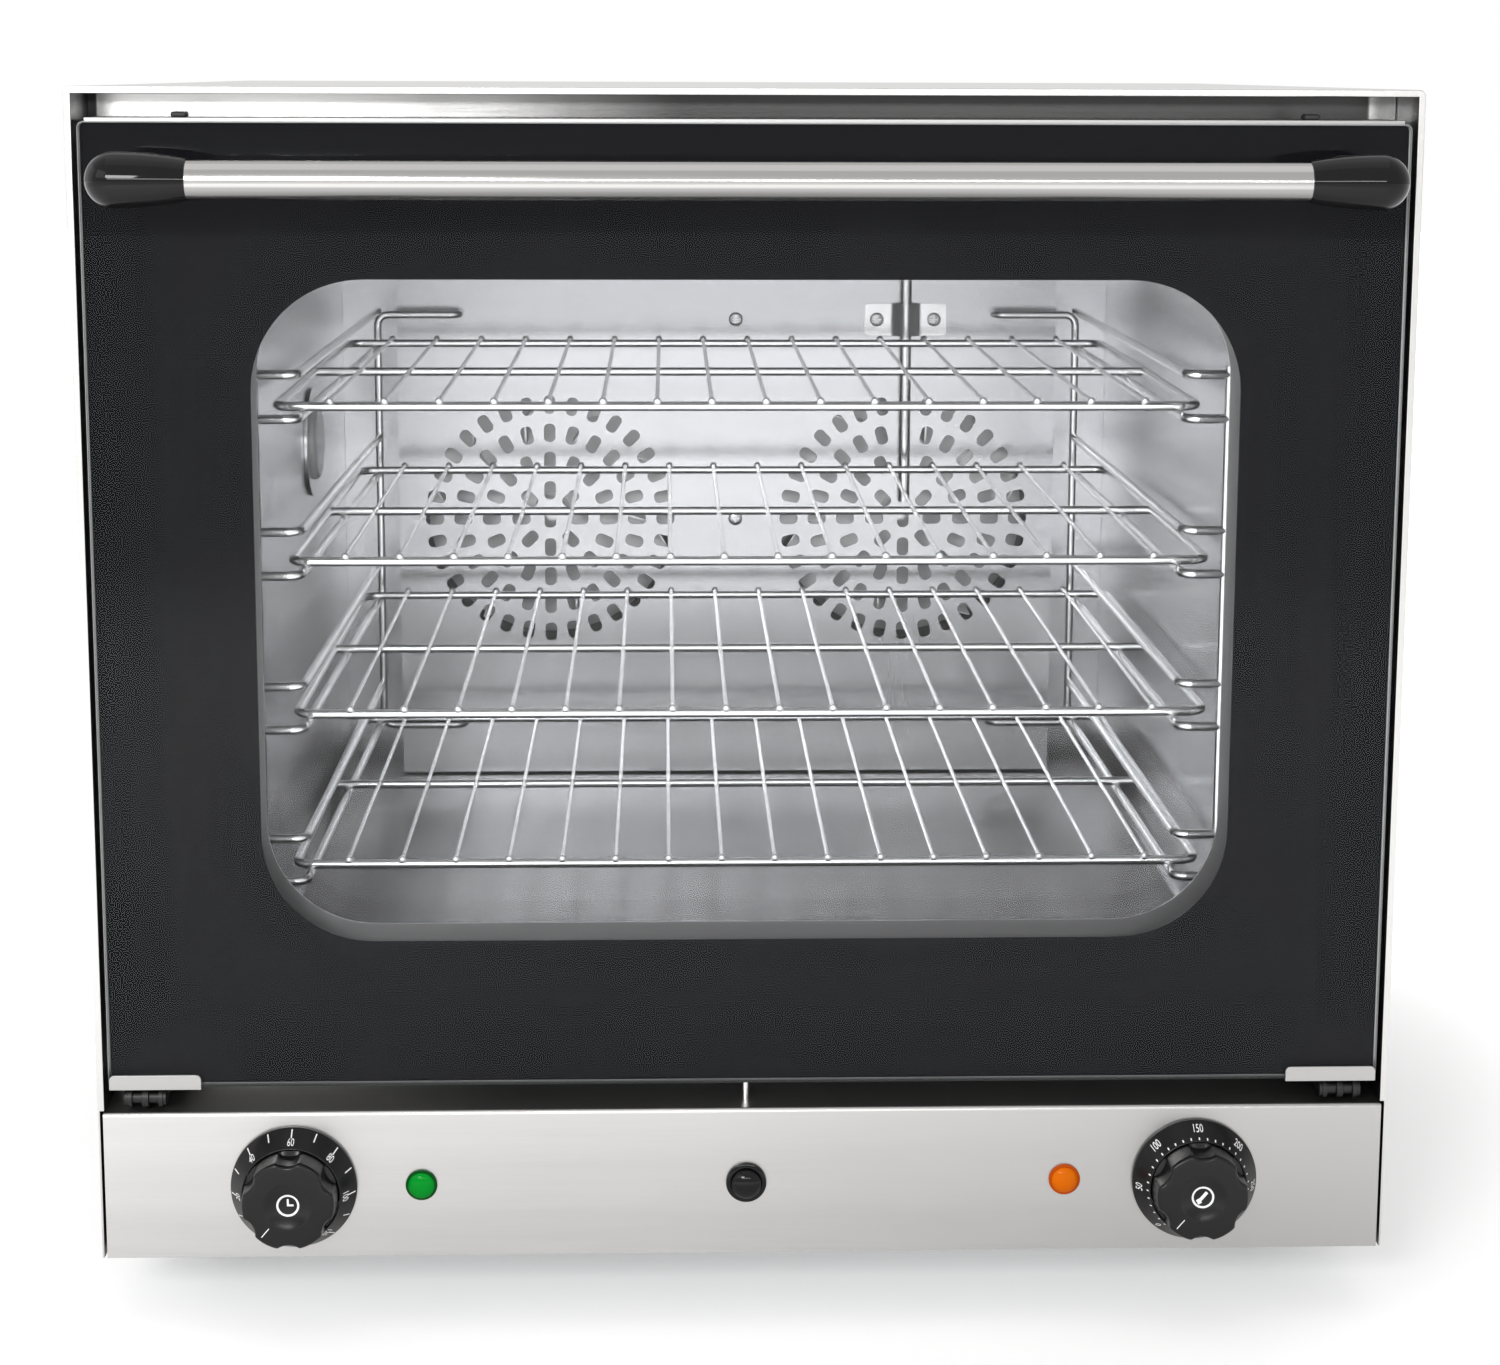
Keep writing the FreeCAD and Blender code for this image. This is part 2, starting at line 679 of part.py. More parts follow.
def impeller(side):
    """A fan wheel: a back disc, a hub and curved blades."""
    blades = 10
    blade_front = 436.0
    disc_front = 460.0
    disc_t = 1.2
    hub_r = 11.0
    inner = 46.0
    lean = math.radians(16)
    thickness = 1.2
    x = side * FAN_X
    wheel = [disc(FAN_R, x, FAN_Z, disc_front, disc_front + disc_t)]
    wheel.append(disc(hub_r, x, FAN_Z, blade_front + 8, disc_front))
    for number in range(blades):
        turn = 2 * math.pi * number / blades
        points = []
        for offset in (0, thickness):
            for part, reach in enumerate((inner, (inner + FAN_R) / 2, FAN_R - 1)):
                angle = turn + side * lean * (part / 2) ** 2
                points.append(V(
                    x + reach * math.cos(angle) - offset * math.sin(turn),
                    blade_front,
                    FAN_Z + reach * math.sin(angle) + offset * math.cos(turn),
                ))
        outline = Part.makePolygon(points[:3] + points[:2:-1] + points[:1])
        wheel.append(Part.Face(outline).extrude(V(0, disc_front - blade_front, 0)))
    bore = disc(FAN_SHAFT_R, x, FAN_Z, blade_front, disc_front + 5)
    return [joined(wheel).cut(bore)]


def fan_shaft(side):
    """The shaft from the motor through the chamber's back wall into the wheel's hub."""
    front = 442.0
    back = 505.0
    return [disc(FAN_SHAFT_R, side * FAN_X, FAN_Z, front, back)]


def fan_motor(side):
    """A round motor on three legs behind the chamber, with a bore for its shaft."""
    x = side * FAN_X
    leg_r = 4.0
    leg_reach = 30.0
    shaft_room = 26.0
    parts = [disc(MOTOR_R, x, FAN_Z, MOTOR_FRONT, MOTOR_BACK)]
    for leg in range(3):
        angle = math.pi / 2 + leg * 2 * math.pi / 3
        leg_x = x + leg_reach * math.cos(angle)
        leg_z = FAN_Z + leg_reach * math.sin(angle)
        parts.append(disc(leg_r, leg_x, leg_z, CHAMBER_BACK + SHEET, MOTOR_FRONT))
    bore = disc(FAN_SHAFT_R + RUNNING, x, FAN_Z, MOTOR_FRONT - 1, MOTOR_FRONT + shaft_room)
    return [joined(parts).cut(bore)]


def ring_tails(side):
    """The two places where a ring's ends leave through the back wall."""
    apart = 12.0
    height = math.sqrt(RING_R ** 2 - apart ** 2)
    return [(side * FAN_X + step, FAN_Z + height) for step in (-apart, apart)]


def heating_ring(side):
    """A sheathed heating ring round the fan, open at the top, with its two ends led to the back."""
    x = side * FAN_X
    tail_back = 512.0
    outline = eight_sides(RING_WIRE, V(x, RING_Y, FAN_Z + RING_R), TO_RIGHT)
    (left_x, tail_z), (right_x, _) = ring_tails(side)
    opening = 2 * math.degrees(math.asin((right_x - x) / RING_R))
    ring = Part.Face(outline).revolve(V(x, 0, FAN_Z), TO_BACK, 360 - opening)
    ring.rotate(V(x, 0, FAN_Z), TO_BACK, opening / 2)
    tails = [
        wire(RING_WIRE, V(tail_x, RING_Y - RING_WIRE / 2, tail_z), V(tail_x, tail_back, tail_z))
        for tail_x in (left_x, right_x)
    ]
    return [joined([ring] + tails)]


# The door.

def outer_glass():
    """The large front glass."""
    half = GLASS_W / 2
    corner = 4.0
    return [rounded_block(-half, half, GLASS_Y, GLASS_Y + GLASS_T, GLASS_BOTTOM, GLASS_TOP, corner)]


def glass_border():
    """The black print on the back of the front glass, with the clear window in it."""
    half = GLASS_W / 2
    corner = 4.0
    front = GLASS_Y + GLASS_T
    back = front + PRINT_T
    whole = rounded_block(-half, half, front, back, GLASS_BOTTOM, GLASS_TOP, corner)
    window = rounded_block(
        -WINDOW_W / 2, WINDOW_W / 2, front - 1, back + 1, WINDOW_BOTTOM, WINDOW_TOP, WINDOW_R
    )
    return [whole.cut(window)]


def door_frame():
    """A folded steel tray behind the front glass, open where the window is."""
    half = DOOR_FRAME_W / 2
    front = GLASS_Y + GLASS_T + PRINT_T
    lip = 12.0
    wider = 2.5
    tray = block(-half, half, front, DOOR_BACK, GLASS_BOTTOM, DOOR_FRAME_TOP)
    hollow = block(
        -half + SHEET, half - SHEET, front + SHEET, DOOR_BACK - SHEET,
        GLASS_BOTTOM + SHEET, DOOR_FRAME_TOP - SHEET,
    )
    open_front = block(
        -half + lip, half - lip, front - 1, front + SHEET + 1, GLASS_BOTTOM + lip, DOOR_FRAME_TOP - lip
    )
    window = rounded_block(
        -WINDOW_W / 2 - wider, WINDOW_W / 2 + wider, front, DOOR_BACK + 1,
        WINDOW_BOTTOM - wider, WINDOW_TOP + wider, WINDOW_R,
    )
    slot_half = 3.0
    slot_back = PIVOT_Y + 15.0
    below = GLASS_BOTTOM - 1
    cuts = [hollow, open_front, window]
    for side in (-1, 1):
        x = side * HINGE_X
        screw_seat = V(side * CLIP_SCREW_X, CLIP_SCREW_Y, below)
        cuts.append(block(x - slot_half, x + slot_half, front - 1, slot_back, below, GLASS_BOTTOM + 2))
        cuts.append(Part.makeCylinder(SCREW_R + SCREW_ROOM, 5, screw_seat))
    return [tray.cut(cuts)]


def inner_glass():
    """The second glass, held against the door frame's back sheet."""
    overlap = 11.5
    half = WINDOW_W / 2 + overlap
    back = DOOR_BACK - SHEET
    return [block(-half, half, back - GLASS_T, back, WINDOW_BOTTOM - overlap, WINDOW_TOP + overlap)]


# The clips that hold the front glass at its lower corners.


def glass_clip():
    """The right clip: a lip over the glass, and a foot screwed under the door frame."""
    bottom = GLASS_BOTTOM - SHEET
    corner = 2.5
    back = GLASS_Y + GLASS_T + 0.2
    lip = block(CLIP_INNER_X, CLIP_OUTER_X, GLASS_Y - SHEET, GLASS_Y, bottom, CLIP_TOP)
    upper_corners = [
        edge for edge in lip.Edges
        if abs(edge.tangentAt(edge.FirstParameter).y) > 0.9 and edge.CenterOfMass.z > CLIP_TOP - 1
    ]
    lip = lip.makeFillet(corner, upper_corners)
    under = block(CLIP_INNER_X, CLIP_OUTER_X, GLASS_Y - SHEET, back, bottom, GLASS_BOTTOM)
    foot = block(CLIP_INNER_X, CLIP_SCREW_X + 8, GLASS_Y, CLIP_SCREW_Y + 6, bottom, GLASS_BOTTOM)
    hole = Part.makeCylinder(SCREW_R + SCREW_ROOM, 5, V(CLIP_SCREW_X, CLIP_SCREW_Y, bottom - 2))
    return joined([lip, under, foot]).cut(hole)


def clip_screws():
    """The screws that hold the clips, driven up into the door frame."""
    head_r = 3.5
    head_h = 1.8
    length = 6.0
    screws = []
    for side in (-1, 1):
        seat = V(side * CLIP_SCREW_X, CLIP_SCREW_Y, GLASS_BOTTOM - SHEET)
        head = wire(2 * head_r, seat - UP * head_h, seat)
        screws.append(head.fuse(wire(2 * SCREW_R, seat, seat + UP * length)))
    return screws


# The hinges under the door.


def hinge_bracket():
    """The right bracket on the steel face: two ears, and the riveted pin that the door turns on."""
    ear_t = 2.0
    inside = 12.0
    plate_back = FACE_Y
    plate_t = 1.2
    low = PIVOT_Z - EYE_R
    high = PIVOT_Z + EYE_R
    parts = [
        block(
            HINGE_X - inside / 2 - 6, HINGE_X + inside / 2 + 6,
            plate_back - plate_t, plate_back, low, high,
        )
    ]
    for ear_x in (HINGE_X - inside / 2 - ear_t, HINGE_X + inside / 2):
        parts.append(block(ear_x, ear_x + ear_t, PIVOT_Y, plate_back - plate_t, low, high))
        parts.append(Part.makeCylinder(EYE_R, ear_t, V(ear_x, PIVOT_Y, PIVOT_Z), TO_RIGHT))
    head_t = 1.5
    pin_start = HINGE_X - inside / 2 - ear_t
    pin_length = inside + 2 * ear_t
    parts.append(Part.makeCylinder(PIN_R, pin_length, V(pin_start, PIVOT_Y, PIVOT_Z), TO_RIGHT))
    for head_x in (pin_start - head_t, pin_start + pin_length):
        parts.append(Part.makeCylinder(PIN_R + 1, head_t, V(head_x, PIVOT_Y, PIVOT_Z), TO_RIGHT))
    return joined(parts)


def hinge_arm():
    """The right arm: an eye round the pin, and a leg up inside the door frame to its side."""
    left = HINGE_X - ARM_T / 2
    leg_front = PIVOT_Y + 1.5
    leg_back = PIVOT_Y + 13.0
    leg_top = 140.0
    tab_low = 110.0
    tab_back = 30.0
    side = DOOR_FRAME_W / 2 - SHEET
    eye = Part.makeCylinder(EYE_R, ARM_T, V(left, PIVOT_Y, PIVOT_Z), TO_RIGHT)
    leg = block(left, left + ARM_T, leg_front, leg_back, PIVOT_Z, leg_top)
    tab = block(left, side, leg_front, leg_front + ARM_T, tab_low, leg_top)
    cheek = block(side - ARM_T, side, leg_front, tab_back, tab_low, leg_top)
    bore = Part.makeCylinder(PIN_R + RUNNING, 10, V(left - 3, PIVOT_Y, PIVOT_Z), TO_RIGHT)
    return joined([eye, leg, tab, cheek]).cut(bore)


def door_rest_pin():
    """The small pin on the control panel's top, under the middle of the door."""
    pin_r = 1.6
    pin_y = 14.0
    gap = 1.3
    return [Part.makeCylinder(pin_r, GLASS_BOTTOM - gap - PANEL_H, V(0, pin_y, PANEL_H))]


# The handle.


def handle_bar():
    """The steel tube of the handle, held at both ends in the plastic ends."""
    inserted = 12.0
    wall = 1.2
    half = BAR_SHOWN / 2 + inserted
    start = V(-half, HANDLE_Y, HANDLE_Z)
    outside = Part.makeCylinder(HANDLE_D / 2, 2 * half, start, TO_RIGHT)
    return [outside.cut(Part.makeCylinder(HANDLE_D / 2 - wall, 2 * half, start, TO_RIGHT))]


def handle_end():
    """The right end: a body that swells from the bar to a round nose, and its foot on the glass."""
    start = BAR_SHOWN / 2
    nose = HANDLE_W / 2
    mouth_r = HANDLE_D / 2 + 0.6
    swell_x = nose - HANDLE_END_R
    halfway_r = mouth_r + 0.75 * (HANDLE_END_R - mouth_r)
    upper = [
        V(start, HANDLE_Y, HANDLE_Z),
        V(start, HANDLE_Y, HANDLE_Z + mouth_r),
        V(swell_x, HANDLE_Y, HANDLE_Z + HANDLE_END_R),
        V(nose, HANDLE_Y, HANDLE_Z),
    ]
    swell = Part.Arc(
        upper[1], V((start + swell_x) / 2, HANDLE_Y, HANDLE_Z + halfway_r), upper[2]
    )
    lean = math.sqrt(0.5)
    round_nose = Part.Arc(
        upper[2],
        V(swell_x + HANDLE_END_R * lean, HANDLE_Y, HANDLE_Z + HANDLE_END_R * lean),
        upper[3],
    )
    outline = Part.Wire([
        Part.LineSegment(upper[0], upper[1]).toShape(),
        swell.toShape(),
        round_nose.toShape(),
        Part.LineSegment(upper[3], upper[0]).toShape(),
    ])
    body = Part.Face(outline).revolve(V(0, HANDLE_Y, HANDLE_Z), TO_RIGHT, 360)
    foot_half_w = 15.0
    foot_half_h = 10.5
    foot_x = nose - foot_half_w - 1
    foot = rounded_block(
        foot_x - foot_half_w, foot_x + foot_half_w, HANDLE_Y, GLASS_Y,
        HANDLE_Z - foot_half_h, HANDLE_Z + foot_half_h, foot_half_h - 0.5,
    )
    socket = Part.makeCylinder(HANDLE_D / 2, 12.0, V(start, HANDLE_Y, HANDLE_Z), TO_RIGHT)
    return joined([body, foot]).cut(socket)


# The controls.


def scale_ring(x):
    """The ring round a dial, fixed on the panel, with the slope that carries the scale."""
    foot = 2.0
    inner_r = SCALE_MOUTH_R - 0.5
    return turned(x, CONTROL_Z, [
        (inner_r, 0), (SCALE_R, 0), (SCALE_R, -foot),
        (SCALE_MOUTH_R, -SCALE_REACH), (inner_r, -SCALE_REACH),
    ])


def switch_unit(x):
    """The works behind a dial, closed, with a threaded bush for the shaft, and the scale ring."""
    half = 24.0
    front = 1.0
    back = 40.0
    body = block(x - half, x + half, front, back, CONTROL_Z - half, CONTROL_Z + half)
    bush = disc(BUSH_R, x, CONTROL_Z, BUSH_FRONT, front)
    bore = disc(DIAL_SHAFT_R + RUNNING, x, CONTROL_Z, BUSH_FRONT - 1, 14)
    return [joined([body, bush]).cut(bore), scale_ring(x)]


def dial_shaft(x):
    """The steel spindle that turns with a dial."""
    return [disc(DIAL_SHAFT_R, x, CONTROL_Z, -18, 13)]


def dial(x):
    """The grip of a dial: a drum with six finger scallops and a shallow dish in its face."""
    back = -2.0
    face = -KNOB_REACH
    edge = 1.0
    body = turned(x, CONTROL_Z, [
        (0, back), (GRIP_R, back), (GRIP_R, -SCALE_REACH), (FACE_R, face + edge),
        (FACE_R - edge, face), (0, face),
    ])
    dish_r = 10.7
    dish = 2.4
    hollow_r = (dish_r ** 2 + dish ** 2) / (2 * dish)
    hollow = Part.makeSphere(hollow_r, V(x, face + dish - hollow_r, CONTROL_Z))
    bore = disc(DIAL_SHAFT_R, x, CONTROL_Z, -18, back + 1)
    scallops = 6
    scallop_r = 10.0
    depth = 2.2
    reach = GRIP_R + scallop_r - depth
    scallop_back = -SCALE_REACH - 0.6
    cuts = [hollow, bore]
    for number in range(scallops):
        angle = 2 * math.pi * (number + 0.5) / scallops
        centre_x = x + reach * math.cos(angle)
        centre_z = CONTROL_Z + reach * math.sin(angle)
        cuts.append(disc(scallop_r, centre_x, centre_z, face - 1, scallop_back))
    return [body.cut(cuts)]


def pilot_lens(x):
    """The domed lens of a pilot light, on the panel's front."""
    return [turned(x, CONTROL_Z, [(0, 0), (PILOT_R, 0), (PILOT_R, -1.2), (PILOT_R - 2, -3.0), (0, -3.8)])]


def pilot_housing(x):
    """The barrel behind a pilot lens, with its nut."""
    barrel = disc(PILOT_BODY_R, x, CONTROL_Z, 0, 24)
    nut = disc(PILOT_BODY_R + 2.5, x, CONTROL_Z, SHEET, 4)
    return joined([barrel, nut])


def button_housing():
    """The button's barrel through the panel, with a flat bezel in front and a closed back."""
    back = 26.0
    bore_r = BUTTON_R + RUNNING
    barrel = disc(BUTTON_BARREL_R, 0, CONTROL_Z, 0, back)
    bezel = turned(0, CONTROL_Z, [(0, 0), (BEZEL_R, 0), (BEZEL_R, -1.4), (BEZEL_R - 1, -2.4), (0, -2.4)])
    bore = disc(bore_r, 0, CONTROL_Z, -5, SPRING_BACK)
    return [joined([barrel, bezel]).cut(bore)]


def steam_button():
    """The domed cap that is pressed for steam."""
    return [turned(0, CONTROL_Z, [
        (0, SPRING_FRONT), (BUTTON_R, SPRING_FRONT), (BUTTON_R, -3.6), (BUTTON_R - 1.6, -5.4),
        (BUTTON_R - 4, -6.4), (0, -6.8),
    ])]


def button_spring():
    """The coil spring behind the cap, one unbroken wire."""
    turns = 4
    coil_r = 4.0
    wire_t = 0.9
    length = SPRING_BACK - SPRING_FRONT - wire_t
    pitch = length / turns
    helix = Part.makeHelix(pitch, length, coil_r)
    half = wire_t / 2
    corners = [
        V(coil_r - half, 0, -half), V(coil_r + half, 0, -half),
        V(coil_r + half, 0, half), V(coil_r - half, 0, half),
    ]
    outline = Part.makePolygon(corners + corners[:1])
    coil = Part.Wire(helix.Edges).makePipeShell([outline], True, True)
    coil.rotate(V(0, 0, 0), TO_RIGHT, -90)
    coil.translate(V(0, SPRING_FRONT + half, CONTROL_Z))
    print("button spring: least gap between turns", round(pitch - wire_t, 2), "mm")
    return [coil]


# The feet and the screws at the back.


def foot_places():
    """The x and y of the four feet, set back so that they hide under the body."""
    foot_x = 250.0
    return [(x, y) for x in (-foot_x, foot_x) for y in (95.0, 465.0)]


def feet():
    """Four tapered rubber feet, each with a stud up through the base pan."""
    top_r = 20.0
    ground_r = 16.0
    stud_top = 8.0
    pieces = []
    for x, y in foot_places():
        cone = Part.makeCone(ground_r, top_r, FOOT_H + SHEET, V(x, y, -FOOT_H))
        stud = Part.makeCylinder(FOOT_STUD_R, stud_top - SHEET, V(x, y, SHEET))
        pieces.append(joined([cone, stud]))
    return pieces


def panel_screws():
    """The screws of the back panel, driven in from behind."""
    head_r = 4.0
    head_h = 2.0
    edge = 8.0
    screws = []
    for x in (-BODY_W / 2 + edge, 0.0, BODY_W / 2 - edge):
        for z in (edge + 4, BODY_H / 2, BODY_H - edge):
            if x == 0 and z == BODY_H / 2:
                continue
            screws.append(wire(2 * head_r, V(x, BODY_D, z), V(x, BODY_D + head_h, z)))
    return screws


def pair(make):
    """A piece that is drawn on the right, and its mirror image."""
    return [mirrored(make()), make()]


def save(name, solids):
    """Write one named piece, moved to the oven's own origin."""
    moved = []
    for solid in solids:
        for one in solid.Solids:
            one = one.copy()
            one.translate(V(0, -MIDDLE_Y, FOOT_H))
            if not one.isValid():
                print("not valid:", name)
            moved.append(one)
    shape = moved[0] if len(moved) == 1 else Part.makeCompound(moved)
    shape.exportStep(os.path.join("parts", name + ".step"))
    print(name, len(moved), "solid(s),", round(shape.Volume / 1000, 1), "cm3")


PIECES = {
    "outer_casing": outer_casing(),
    "back_panel": back_panel(),
    "base_pan": base_pan(),
    "control_panel": control_panel(),
    "front_frame": front_frame(),
    "cavity_liner": cavity_liner(),
    "insulation_blanket": insulation_blanket(),
    "door_gasket": door_gasket(),
    "lamp_holder": lamp_holder(),
    "lamp_glass": lamp_glass(),
    "fan_guard": fan_guard(),
    "cavity_screws": cavity_screws(),
    "steam_tube": steam_tube(),
    "tube_clamp": tube_clamp(),
    "water_valve": water_valve(),
    "vent_pipe": vent_pipe(),
    "cable_gland": cable_gland(),
    "terminal_block": terminal_block(),
    "rack_frame_left": [mirrored(rack_frame())],
    "rack_frame_right": [rack_frame()],
    "fan_motor_left": fan_motor(-1),
    "fan_motor_right": fan_motor(1),
    "heating_ring_left": heating_ring(-1),
    "heating_ring_right": heating_ring(1),
    "fan_left": impeller(-1),
    "fan_right": impeller(1),
    "fan_shaft_left": fan_shaft(-1),
    "fan_shaft_right": fan_shaft(1),
    "outer_glass": outer_glass(),
    "glass_border": glass_border(),
    "door_frame": door_frame(),
    "inner_glass": inner_glass(),
    "glass_clips": pair(glass_clip),
    "clip_screws": clip_screws(),
    "hinge_bracket_left": [mirrored(hinge_bracket())],
    "hinge_bracket_right": [hinge_bracket()],
    "hinge_arm_left": [mirrored(hinge_arm())],
    "hinge_arm_right": [hinge_arm()],
    "door_rest_pin": door_rest_pin(),
    "handle_bar": handle_bar(),
    "handle_end_left": [mirrored(handle_end())],
    "handle_end_right": [handle_end()],
    "timer_unit": switch_unit(-KNOB_X),
    "timer_shaft": dial_shaft(-KNOB_X),
    "timer_knob": dial(-KNOB_X),
    "thermostat_unit": switch_unit(KNOB_X),
    "thermostat_shaft": dial_shaft(KNOB_X),
    "thermostat_knob": dial(KNOB_X),
    "green_pilot_lens": pilot_lens(GREEN_PILOT_X),
    "orange_pilot_lens": pilot_lens(ORANGE_PILOT_X),
    "pilot_housings": [pilot_housing(GREEN_PILOT_X), pilot_housing(ORANGE_PILOT_X)],
    "button_housing": button_housing(),
    "button_spring": button_spring(),
    "steam_button": steam_button(),
    "feet": feet(),
    "panel_screws": panel_screws(),
}
for level in range(LEVELS):
    PIECES["shelf_" + str(LEVELS - level)] = shelf(level)

os.makedirs("parts", exist_ok=True)
for name, solids in PIECES.items():
    save(name, solids)
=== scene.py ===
# %% [markdown]
# # A countertop convection oven
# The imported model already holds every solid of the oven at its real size. This notebook dresses it:
# each cell takes one piece or one finish, says what it is on the real oven, and how it is made.
# The oven is sheet steel, glass, bent wire and black plastic, so most of the work is in small round
# edges and in how the steel reflects.

# %% Load the oven
import json
import math

import bmesh
import bpy
from mathutils import Euler, Matrix, Vector

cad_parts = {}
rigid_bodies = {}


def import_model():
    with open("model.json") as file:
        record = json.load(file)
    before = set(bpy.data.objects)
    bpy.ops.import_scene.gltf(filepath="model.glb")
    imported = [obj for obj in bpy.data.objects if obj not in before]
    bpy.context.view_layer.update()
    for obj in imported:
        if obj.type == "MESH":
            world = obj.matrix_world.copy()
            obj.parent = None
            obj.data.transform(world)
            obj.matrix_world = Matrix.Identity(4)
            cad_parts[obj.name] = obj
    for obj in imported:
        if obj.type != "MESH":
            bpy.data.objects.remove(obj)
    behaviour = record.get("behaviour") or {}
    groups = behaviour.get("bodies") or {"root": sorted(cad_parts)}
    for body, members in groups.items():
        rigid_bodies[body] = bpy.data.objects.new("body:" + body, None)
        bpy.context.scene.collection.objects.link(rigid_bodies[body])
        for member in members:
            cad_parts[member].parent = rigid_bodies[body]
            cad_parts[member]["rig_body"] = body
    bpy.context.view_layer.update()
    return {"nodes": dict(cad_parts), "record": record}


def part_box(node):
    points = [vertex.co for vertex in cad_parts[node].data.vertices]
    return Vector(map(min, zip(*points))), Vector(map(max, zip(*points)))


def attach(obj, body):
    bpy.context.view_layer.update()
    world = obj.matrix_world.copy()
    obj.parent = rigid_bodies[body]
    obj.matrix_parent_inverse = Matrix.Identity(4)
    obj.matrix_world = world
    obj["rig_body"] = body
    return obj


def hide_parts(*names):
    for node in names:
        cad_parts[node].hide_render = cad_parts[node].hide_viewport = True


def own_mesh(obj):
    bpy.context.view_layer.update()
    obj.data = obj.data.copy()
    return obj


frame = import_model()

# %% Places and sizes
MM = 0.001
casing_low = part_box("outer_casing")[0]


def place(x, y, z):
    """A point in metres, from millimetres off the casing's front edge and the body's underside."""
    return Vector((x * MM, casing_low.y + y * MM, casing_low.z + z * MM))


print("casing front at", round(casing_low.y, 4), "underside at", round(casing_low.z, 4))

# %% [markdown]
# ## Writing node trees as Python
# Shader and geometry trees are both nets of nodes. A small class wraps one socket, so that maths on
# it reads like maths, and one method makes every other kind of node.

# %% Sockets with operators
def operator(operation, swapped=False):
    """The method behind one sign."""
    def method(self, other):
        pair = (other, self) if swapped else (self, other)
        return self.tree.maths(operation, *pair)
    return method


class Socket:
    """One output of a node. Plain arithmetic on it adds the Math node that does the sum."""

    def __init__(self, tree, output):
        self.tree = tree
        self.output = output

    __add__ = __radd__ = operator("ADD")
    __sub__, __rsub__ = operator("SUBTRACT"), operator("SUBTRACT", swapped=True)
    __mul__ = __rmul__ = operator("MULTIPLY")
    __truediv__ = operator("DIVIDE")
    __gt__ = operator("GREATER_THAN")


# %% One method for every other node
class Tree:
    """A node tree that is built by calls."""

    def __init__(self, nodes):
        self.nodes = nodes

    def node(self, kind, numbered=None, **named):
        """Add a node. Settings have names in small letters. Inputs have numbers, or names with a
        capital and _ for each space. Gives the outputs by number and by name."""
        node = self.nodes.nodes.new(kind)
        inputs = dict(numbered or {})
        for name, value in named.items():
            if name[0].islower():
                setattr(node, name, value)
            else:
                inputs[name.replace("_", " ")] = value
        for name, value in inputs.items():
            self.feed(node.inputs[name], value)
        outputs = {}
        for number, output in enumerate(node.outputs):
            outputs[number] = Socket(self, output)
            outputs.setdefault(output.name, outputs[number])
        return outputs

    def feed(self, socket, value):
        """Link a socket, or several into one input, or set a plain value."""
        if isinstance(value, Socket):
            self.nodes.links.new(value.output, socket)
        elif isinstance(value, list):
            for one in reversed(value):
                self.nodes.links.new(one.output, socket)
        elif socket.type == "RGBA" and len(value) == 3:
            socket.default_value = (*value, 1.0)
        else:
            socket.default_value = value

    def maths(self, operation, *values):
        return self.node("ShaderNodeMath", dict(enumerate(values)), operation=operation)[0]

    def vector(self, x, y, z):
        return self.node("ShaderNodeCombineXYZ", X=x, Y=y, Z=z)[0]

    def geo(self, kind, **named):
        """A geometry node's first output."""
        return self.node("GeometryNode" + kind, **named)[0]


# %% [markdown]
# ## The camera
# The photograph looks slightly down on the front from about 1.2 m away and a little left of the
# middle. Its verticals stay nearly parallel, which a shifted lens does.

# %% Camera
CAMERA_X, CAMERA_BEFORE_CASING, CAMERA_Z = -36.8, 1230.0, 544.5
CAMERA_TILT, CAMERA_YAW, CAMERA_ROLL = 8.84, 1.75, 0.18
CAMERA_LENS, CAMERA_SENSOR, CAMERA_SHIFT = 67.0, 36.0, -0.12


def in_scene(name, data):
    """A new object that is in the scene."""
    thing = bpy.data.objects.new(name, data)
    bpy.context.scene.collection.objects.link(thing)
    return thing


camera = in_scene("photo_camera", bpy.data.cameras.new("photo_camera"))
camera.data.lens = CAMERA_LENS
camera.data.sensor_width = CAMERA_SENSOR
camera.data.sensor_fit = "HORIZONTAL"
camera.data.shift_y = CAMERA_SHIFT
camera.location = place(CAMERA_X, -CAMERA_BEFORE_CASING, CAMERA_Z)
tilted = Euler((math.radians(90 - CAMERA_TILT), 0, math.radians(-CAMERA_YAW))).to_matrix()
rolled = Matrix.Rotation(math.radians(CAMERA_ROLL), 3, "Z")
camera.rotation_euler = (tilted @ rolled).to_euler()
bpy.context.scene.camera = camera
bpy.context.scene.view_settings.view_transform = "Standard"
print("camera at", camera.location)

# %% [markdown]
# ## The studio
# A product like this is shot on white paper between large soft lights. The steel shows them more
# than its own colour, so their size and place matter more than their power. The paper and the sky
# are white to the camera, to reflections and through glass.

# %% Materials from a short recipe
WHITE = (1.0, 1.0, 1.0)


def new_material(name):
    """An empty material and its tree."""
    material = bpy.data.materials.new(name)
    material.use_nodes = True
    material.node_tree.nodes.clear()
    return material, Tree(material.node_tree)


def ramp(tree, value, start, end):
    """0 at start and 1 at end, with soft ends."""
    return tree.node("ShaderNodeMapRange", interpolation_type="SMOOTHSTEP",
                     Value=value, From_Min=start, From_Max=end)[0]


def seen_rays(tree):
    """1 for camera rays, reflections and rays through glass, 0 for light that falls on things."""
    path = tree.node("ShaderNodeLightPath")
    return path["Is Camera Ray"] + path["Is Glossy Ray"] + path["Is Transmission Ray"] > 0.5


# %% Sky
SKY_LIGHT = 0.62

